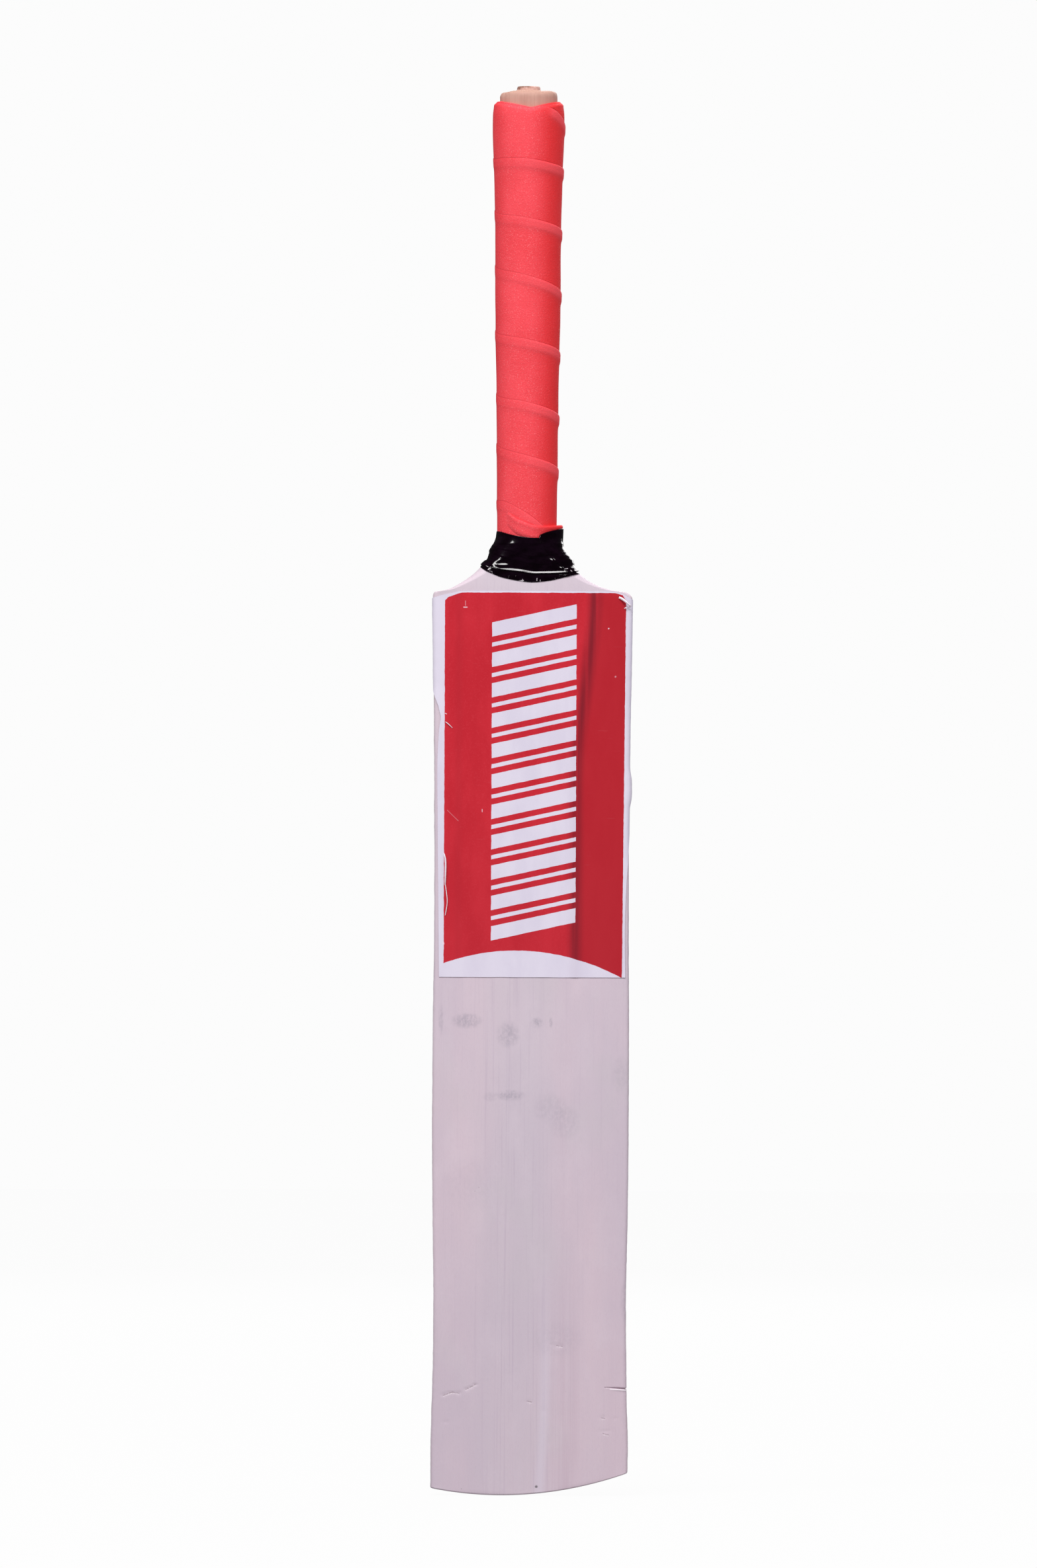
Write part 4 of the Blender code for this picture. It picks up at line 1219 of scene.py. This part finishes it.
def cane():
    """Cane: washed like the blade where it lies in the splice, bare and tan above the neck."""
    look = Look("cane_bare", 0.3)
    washed, _, fine, _ = wood_finish(look)
    fibre = look.noise((1300, 1300, 26), 4.0, 0.65, 0.8)
    broad = look.noise((260, 260, 14), 3.0, 0.55, 0.15)
    pores = look.cells((1150, 1150, 40))
    bare = look.colour(broad.ease(0.35, 0.65), (0.5, 0.276, 0.224), (0.545, 0.318, 0.258))
    bare.tint(fibre.ease(0.5, 0.72) * 0.12, (0.42, 0.23, 0.165))
    bare.tint(pores.ease(0.34, 0.16) * 0.2, (0.33, 0.17, 0.115))
    vessels = look.cells((1500, 1500, 300)).ease(0.42, 0.18)
    end_grain = look.colour(vessels * 0.65, (0.5, 0.29, 0.225), (0.25, 0.13, 0.095))
    bare.tint(look.normal_z().ease(0.45, 0.85) * 0.8, end_grain)
    bare.tint(look.noise(210, 4.0, 0.6, 0.45).ease(0.5, 0.72) * 0.3, (0.47, 0.235, 0.19))
    pip = look.z.ease(HANDLE_END + 0.0003, HANDLE_END + 0.001)
    bark = pip * look.x.ease(-0.0062, -0.0085) * 0.85
    torn = look.z.ease(0.7669, 0.7674) * look.x.ease(-0.001, -0.004) * 0.8
    bare.tint(look.maths("MAXIMUM", bark, torn), (0.18, 0.075, 0.045))
    bare.tint(pip * look.noise(600, 3.0, 0.5, 0.7).ease(0.42, 0.6) * 0.45, (0.74, 0.5, 0.47))
    washed.tint(look.z.ease(0.5225, 0.5245), bare)
    relief = fibre * 0.8 + pores * 0.5 + fine * 0.2
    return look.finished(washed, broad.ease(0.3, 0.7, 0.52, 0.7), relief, 0.00018, 0.6)


def rubber():
    look = Look("rubber_black", 0.25)
    speckle = look.noise(1400, 4.0, 0.7)
    bloom = look.noise((90, 90, 60), 3.0, 0.5, 0.4)
    tone = look.colour(speckle.ease(0.45, 0.75), (0.022, 0.021, 0.021), (0.055, 0.053, 0.052))
    tone.tint(bloom.ease(0.45, 0.7) * 0.35, (0.095, 0.092, 0.09))
    return look.finished(tone, bloom.ease(0.3, 0.7, 0.7, 0.88), speckle, 0.00012, 0.5)


def twine():
    """Waxed twine, laid level round the cane, each turn twisted from two plies."""
    look = Look("twine_waxed", 0.35, {"Sheen Weight": 0.15, "Sheen Roughness": 0.4})
    turn = look.maths("ARCTAN2", look.y - HANDLE_Y, look.x - HANDLE_OFFSET_X)
    ply = look.maths("SINE", turn * 46.0 + look.z * 5700.0)
    fuzz = look.noise((2200, 2200, 2600), 3.0, 0.6)
    tone = look.colour(ply.ease(-0.8, 0.8), (0.36, 0.29, 0.19), (0.64, 0.56, 0.42))
    tone.tint(fuzz.ease(0.45, 0.75) * 0.4, (0.76, 0.69, 0.56))
    return look.finished(tone, fuzz.ease(0.3, 0.7, 0.55, 0.8), ply * 0.5 + fuzz, 0.00018, 0.7)


def grip_foam():
    """Soft coral grip tape with a finely speckled skin, painted glints, painted shade that makes it
    deeper red towards both sides, painted highlights on the raised overlaps and a painted shadow along
    the free edges.
    """
    under_skin = {"Subsurface Radius": (1.0, 0.25, 0.2), "Subsurface Scale": 0.0012}
    look = Look("grip_coral", 0.1, {"Subsurface Weight": 0.06, **under_skin})
    speckle = look.noise(1250, 3.0, 0.6)
    glint_sparkle = look.noise(1700, 2.0, 0.5, 0.3).ease(0.59, 0.7)
    cloud = look.noise((55, 55, 40), 4.0, 0.55, 0.8)
    pits = look.cells(1500)
    tone = look.colour(cloud.ease(0.3, 0.7), (0.79, 0.057, 0.071), (0.87, 0.075, 0.095))
    tone.tint(speckle.ease(0.4, 0.7) * 0.4, (0.93, 0.098, 0.122))
    # Painted glints: pale pink sparkles on the foam's skin.
    tone.tint(glint_sparkle * 0.5, (1.0, 0.26, 0.28))
    tone.tint(pits.ease(0.3, 0.1) * 0.25, (0.6, 0.04, 0.05))
    # Painted shade: deeper red towards the left edge and over the right side, where less light falls.
    left_edge_shade = look.x.ease(HANDLE_OFFSET_X - 0.01, HANDLE_OFFSET_X - 0.017)
    tone.tint(left_edge_shade * 0.4, (0.74, 0.036, 0.046))
    right = look.x.ease(HANDLE_OFFSET_X + 0.001, HANDLE_OFFSET_X + 0.014)
    tone.tint(right * 0.74, (0.745, 0.022, 0.024))
    # Painted highlight: lighter colour on each raised overlap.
    tone.tint(look.layer("overlap_highlight") * 0.6, (0.91, 0.104, 0.128))
    # Painted shadow along the free edges of the turns.
    tone.tint(look.layer("crease_shade") * 0.75, (0.36, 0.022, 0.03))
    relief = speckle * 0.7 + pits * 0.6
    return look.finished(tone, cloud.ease(0.3, 0.7, 0.52, 0.68), relief, 0.00022, 0.7)


def black_vinyl():
    """Glossy black electrical tape, scuffed, with lint caught along its lower edge."""
    look = Look("tape_black", 0.42)
    smear = look.noise((120, 120, 260), 4.0, 0.6)
    stretch = look.noise((70, 70, 900), 3.0, 0.55, 0.5)
    dust = look.noise(900, 3.0, 0.7, 0.2)
    tone = look.colour(smear.ease(0.35, 0.7), (0.0018, 0.0001, 0.0014), (0.0048, 0.001, 0.0044))
    lint = look.noise((1100, 1100, 420), 4.0, 0.75, 0.6).ease(0.64, 0.7)
    low = look.z.ease(0.5042, 0.5018) * look.noise(170, 2.0, 0.5, 0.9).ease(0.46, 0.6)
    tone.tint(lint * low * 0.8, (0.64, 0.57, 0.6))
    ragged = look.noise(2400, 3.0, 0.7, 0.7).ease(0.36, 0.56)
    front = look.y.ease(HANDLE_Y, HANDLE_Y - 0.001)
    for *ends, reach in THREADS:
        thread = look.line_away(*ends).ease(reach, reach * 0.5)
        tone.tint(thread * ragged * front * 0.85, (0.7, 0.64, 0.68))
    slack = look.layer("taut").ease(0.5, 0.05, 0.0, 0.03)
    rough = smear.ease(0.3, 0.75, 0.085, 0.13) + dust.ease(0.5, 0.8) * 0.03 + slack
    relief = stretch * 0.5 + smear * 0.8 + dust * 0.04
    return look.finished(tone, rough, relief, 0.00022, 0.2)


def print_mask(look):
    """Where the label is red: a panel with a pale arc cut into its foot, and pale slanted bars."""
    soft = 0.0001
    wander = (look.noise(260, 3.0, 0.6, 0.1) - 0.5) * 0.0006
    x, z = look.x + wander, look.z + wander

    def inked(distance):
        return distance.ease(-soft, soft)

    right_edge = 0.0509 - (0.4885 - z) * 0.0072
    left_round = x.ease(-0.0375, -0.0475) * 0.0026 + x.ease(-0.0455, -0.0482) * 0.0018
    right_round = x.ease(0.044, 0.05) * 0.0012 + x.ease(0.0487, 0.0513) * 0.003
    top_edge = 0.4916 - (left_round + right_round)
    from_apex = x + 0.008
    foot_edge = 0.2967 - from_apex * from_apex * 4.45
    panel = inked(x + 0.0477) * inked(right_edge - x) * inked(top_edge - z) * inked(z - foot_edge)
    pitch = 0.01655
    column_x = x - 0.001
    inside = inked(0.023 - abs(column_x))
    counted = (z - column_x * 0.22 - 0.3071) * (1 / pitch)
    rows = counted.ease(-0.01, 0.0) * counted.ease(10.49, 10.48)
    phase = look.maths("FRACT", counted) * pitch
    broad = inked(phase) * inked(0.0078 - phase)
    thin = inked(0.0011 - abs(phase - 0.0122))
    bars = inside * rows * look.maths("MAXIMUM", broad, thin)
    return panel * (1.0 - bars)


def label_vinyl():
    """Printed vinyl: a red panel and slanted pale bars, with painted shade along a soft crease down the
    right and to its right.
    """
    look = Look("label_printed", 0.16)
    printed = print_mask(look)
    cloud = look.noise((70, 70, 26), 4.0, 0.6)
    weave = look.noise(1300, 2.0, 0.5, 0.3)
    streak = look.noise((330, 330, 4), 4.0, 0.6, 0.6)
    away = look.x - (look.z.ease(0.385, 0.495) * 0.0103 + 0.0238)
    crease_shade = abs(away).ease(0.006, 0.0) * streak.ease(0.25, 0.62, 0.4, 1.0)
    red = look.colour(cloud.ease(0.35, 0.65), (0.51, 0.016, 0.029), (0.565, 0.02, 0.035))
    red.tint(weave.ease(0.5, 0.75) * 0.25, (0.62, 0.045, 0.065))
    # Painted shade: the red is darker to the right of the crease and deepest along it.
    red.tint(away.ease(0.0, 0.004) * 0.75, (0.415, 0.013, 0.023))
    red.tint(crease_shade * 0.98, (0.205, 0.0105, 0.0205))
    red.tint(look.z.ease(0.4, 0.285) * 0.22, (0.4, 0.02, 0.034))
    # Painted shade in a faint upright band on the left.
    red.tint(abs(look.x + 0.04).ease(0.0035, 0.0) * 0.22, (0.4, 0.018, 0.03))
    tone = look.colour(cloud.ease(0.35, 0.65), (0.65, 0.605, 0.725), (0.69, 0.648, 0.76))
    # Painted shade along the crease on the pale parts.
    tone.tint(crease_shade * 0.22, (0.54, 0.47, 0.56))
    tone.tint(printed, red)
    # Scratches, and a painted glint near the label's top left.
    for *ends, reach, strength in SCRATCHES_AND_GLINT:
        scratch_and_glint = look.line_away(*ends).ease(reach, reach * 0.35)
        tone.tint(scratch_and_glint * strength, (0.78, 0.65, 0.74))
    scoured = look.noise((60, 60, 1600), 3.0, 0.6, 0.9).ease(0.7, 0.76)
    tone.tint(scoured * 0.05, (0.7, 0.5, 0.56))
    relief = weave * 0.25 + streak * 0.5 + cloud * 0.6
    return look.finished(tone, cloud.ease(0.25, 0.75, 0.38, 0.52), relief, 0.00016, 0.45)


def shred_vinyl():
    look = Look("label_torn", 0.38, {"Sheen Weight": 0.1})
    cloud = look.noise(700, 3.0, 0.6)
    tone = look.colour(cloud, (0.72, 0.64, 0.74), (0.88, 0.82, 0.9))
    return look.finished(tone, cloud.ease(0.3, 0.7, 0.4, 0.6), cloud, 0.0001, 0.5)


# ---- studio


def make_camera():
    data = bpy.data.cameras.new("camera")
    data.sensor_fit = "VERTICAL"
    data.sensor_height = 36.0
    data.sensor_width = 36.0
    data.lens = data.sensor_height * VIEW_DISTANCE / VIEW_HEIGHT
    camera = bpy.data.objects.new("camera", data)
    camera.location = VIEW_CENTRE - Vector((0.0, VIEW_DISTANCE, 0.0))
    camera.rotation_euler = (pi / 2, -VIEW_ROLL, 0.0)
    bpy.context.scene.collection.objects.link(camera)
    bpy.context.scene.camera = camera


def make_light(name, place, size, power, colour):
    data = bpy.data.lights.new(name, "AREA")
    data.shape = "RECTANGLE"
    data.size, data.size_y = size
    data.energy = power
    data.color = colour
    light = bpy.data.objects.new(name, data)
    light.location = place
    aim = Vector((0.0, 0.0, 0.4)) - Vector(place)
    light.rotation_euler = aim.to_track_quat("-Z", "Y").to_euler()
    bpy.context.scene.collection.objects.link(light)
    return light


def make_world():
    """A soft even surround, dim in reflections. The camera sees it as plain as the floor."""
    world = bpy.data.worlds.new("studio")
    world.use_nodes = True
    tree = world.node_tree
    rays = tree.nodes.new("ShaderNodeLightPath")
    lit = tree.nodes["Background"]
    lit.inputs["Color"].default_value = (1.0, 0.985, 1.0, 1.0)
    lit.inputs["Strength"].default_value = SURROUND_LIGHT
    shader = lit.outputs[0]
    for ray, bright in (
        ("Is Glossy Ray", SURROUND_GLOSS),
        ("Is Camera Ray", PAPER_WHITE),
    ):
        other = tree.nodes.new("ShaderNodeBackground")
        other.inputs["Color"].default_value = (bright, bright, bright, 1.0)
        chosen = tree.nodes.new("ShaderNodeMixShader")
        tree.links.new(rays.outputs[ray], chosen.inputs[0])
        tree.links.new(shader, chosen.inputs[1])
        tree.links.new(other.outputs[0], chosen.inputs[2])
        shader = chosen.outputs[0]
    tree.links.new(shader, tree.nodes["World Output"].inputs["Surface"])
    bpy.context.scene.world = world


def make_floor():
    """A plain white floor that takes only the faintest shadow."""
    body = bmesh.new()
    turns = steps(0.0, 2 * pi, 64)[:-1]
    rows = [[(r * cos(a), r * sin(a), FLOOR_Z) for a in turns] for r in (0.5, 2.0, 9.0)]
    rings = rings_of(body, rows)
    wrap(body, rings)
    body.faces.new(rings[0])
    floor = object_from("floor", body)
    paper = bpy.data.materials.new("floor_paper")
    paper.use_nodes = True
    shader = paper.node_tree.nodes["Principled BSDF"]
    settings = {
        "Base Color": (0.02, 0.02, 0.02, 1.0),
        "Roughness": 1.0,
        "Specular IOR Level": 0.0,
        "Emission Color": (1.0, 1.0, 1.0, 1.0),
        "Emission Strength": FLOOR_GLOW,
    }
    for socket, value in settings.items():
        shader.inputs[socket].default_value = value
    floor.data.materials.append(paper)
    floor.visible_glossy = False
    floor.visible_diffuse = False


def make_studio():
    bpy.context.scene.view_settings.view_transform = "Standard"
    make_world()
    make_floor()
    make_light("key", (-1.2, -3.7, 5.65), (4.6, 1.4), 432.0, (1.0, 0.985, 0.98))
    make_light("fill", (3.6, -2.4, 1.2), (2.4, 2.4), 26.0, (0.98, 0.985, 1.0)).visible_glossy = False
    make_light("top", (0.1, 0.3, 3.4), (1.6, 1.2), 20.0, (1.0, 1.0, 1.0)).visible_glossy = False
    make_light("back", (0.9, 4.2, 2.4), (3.0, 3.0), 100.0, (1.0, 0.99, 1.0))


def main():
    make_camera()
    make_studio()
    make_blade(willow())
    make_canes(cane())
    make_grip(grip_foam())
    make_neck_tape(black_vinyl())
    make_label(label_vinyl())
    make_shreds(shred_vinyl())
    hidden = {"rubber_strip": rubber(), "twine_binding": twine()}
    for name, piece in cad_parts.items():
        for start, look in hidden.items():
            if name.startswith(start):
                piece.data.materials.clear()
                piece.data.materials.append(look)


main()
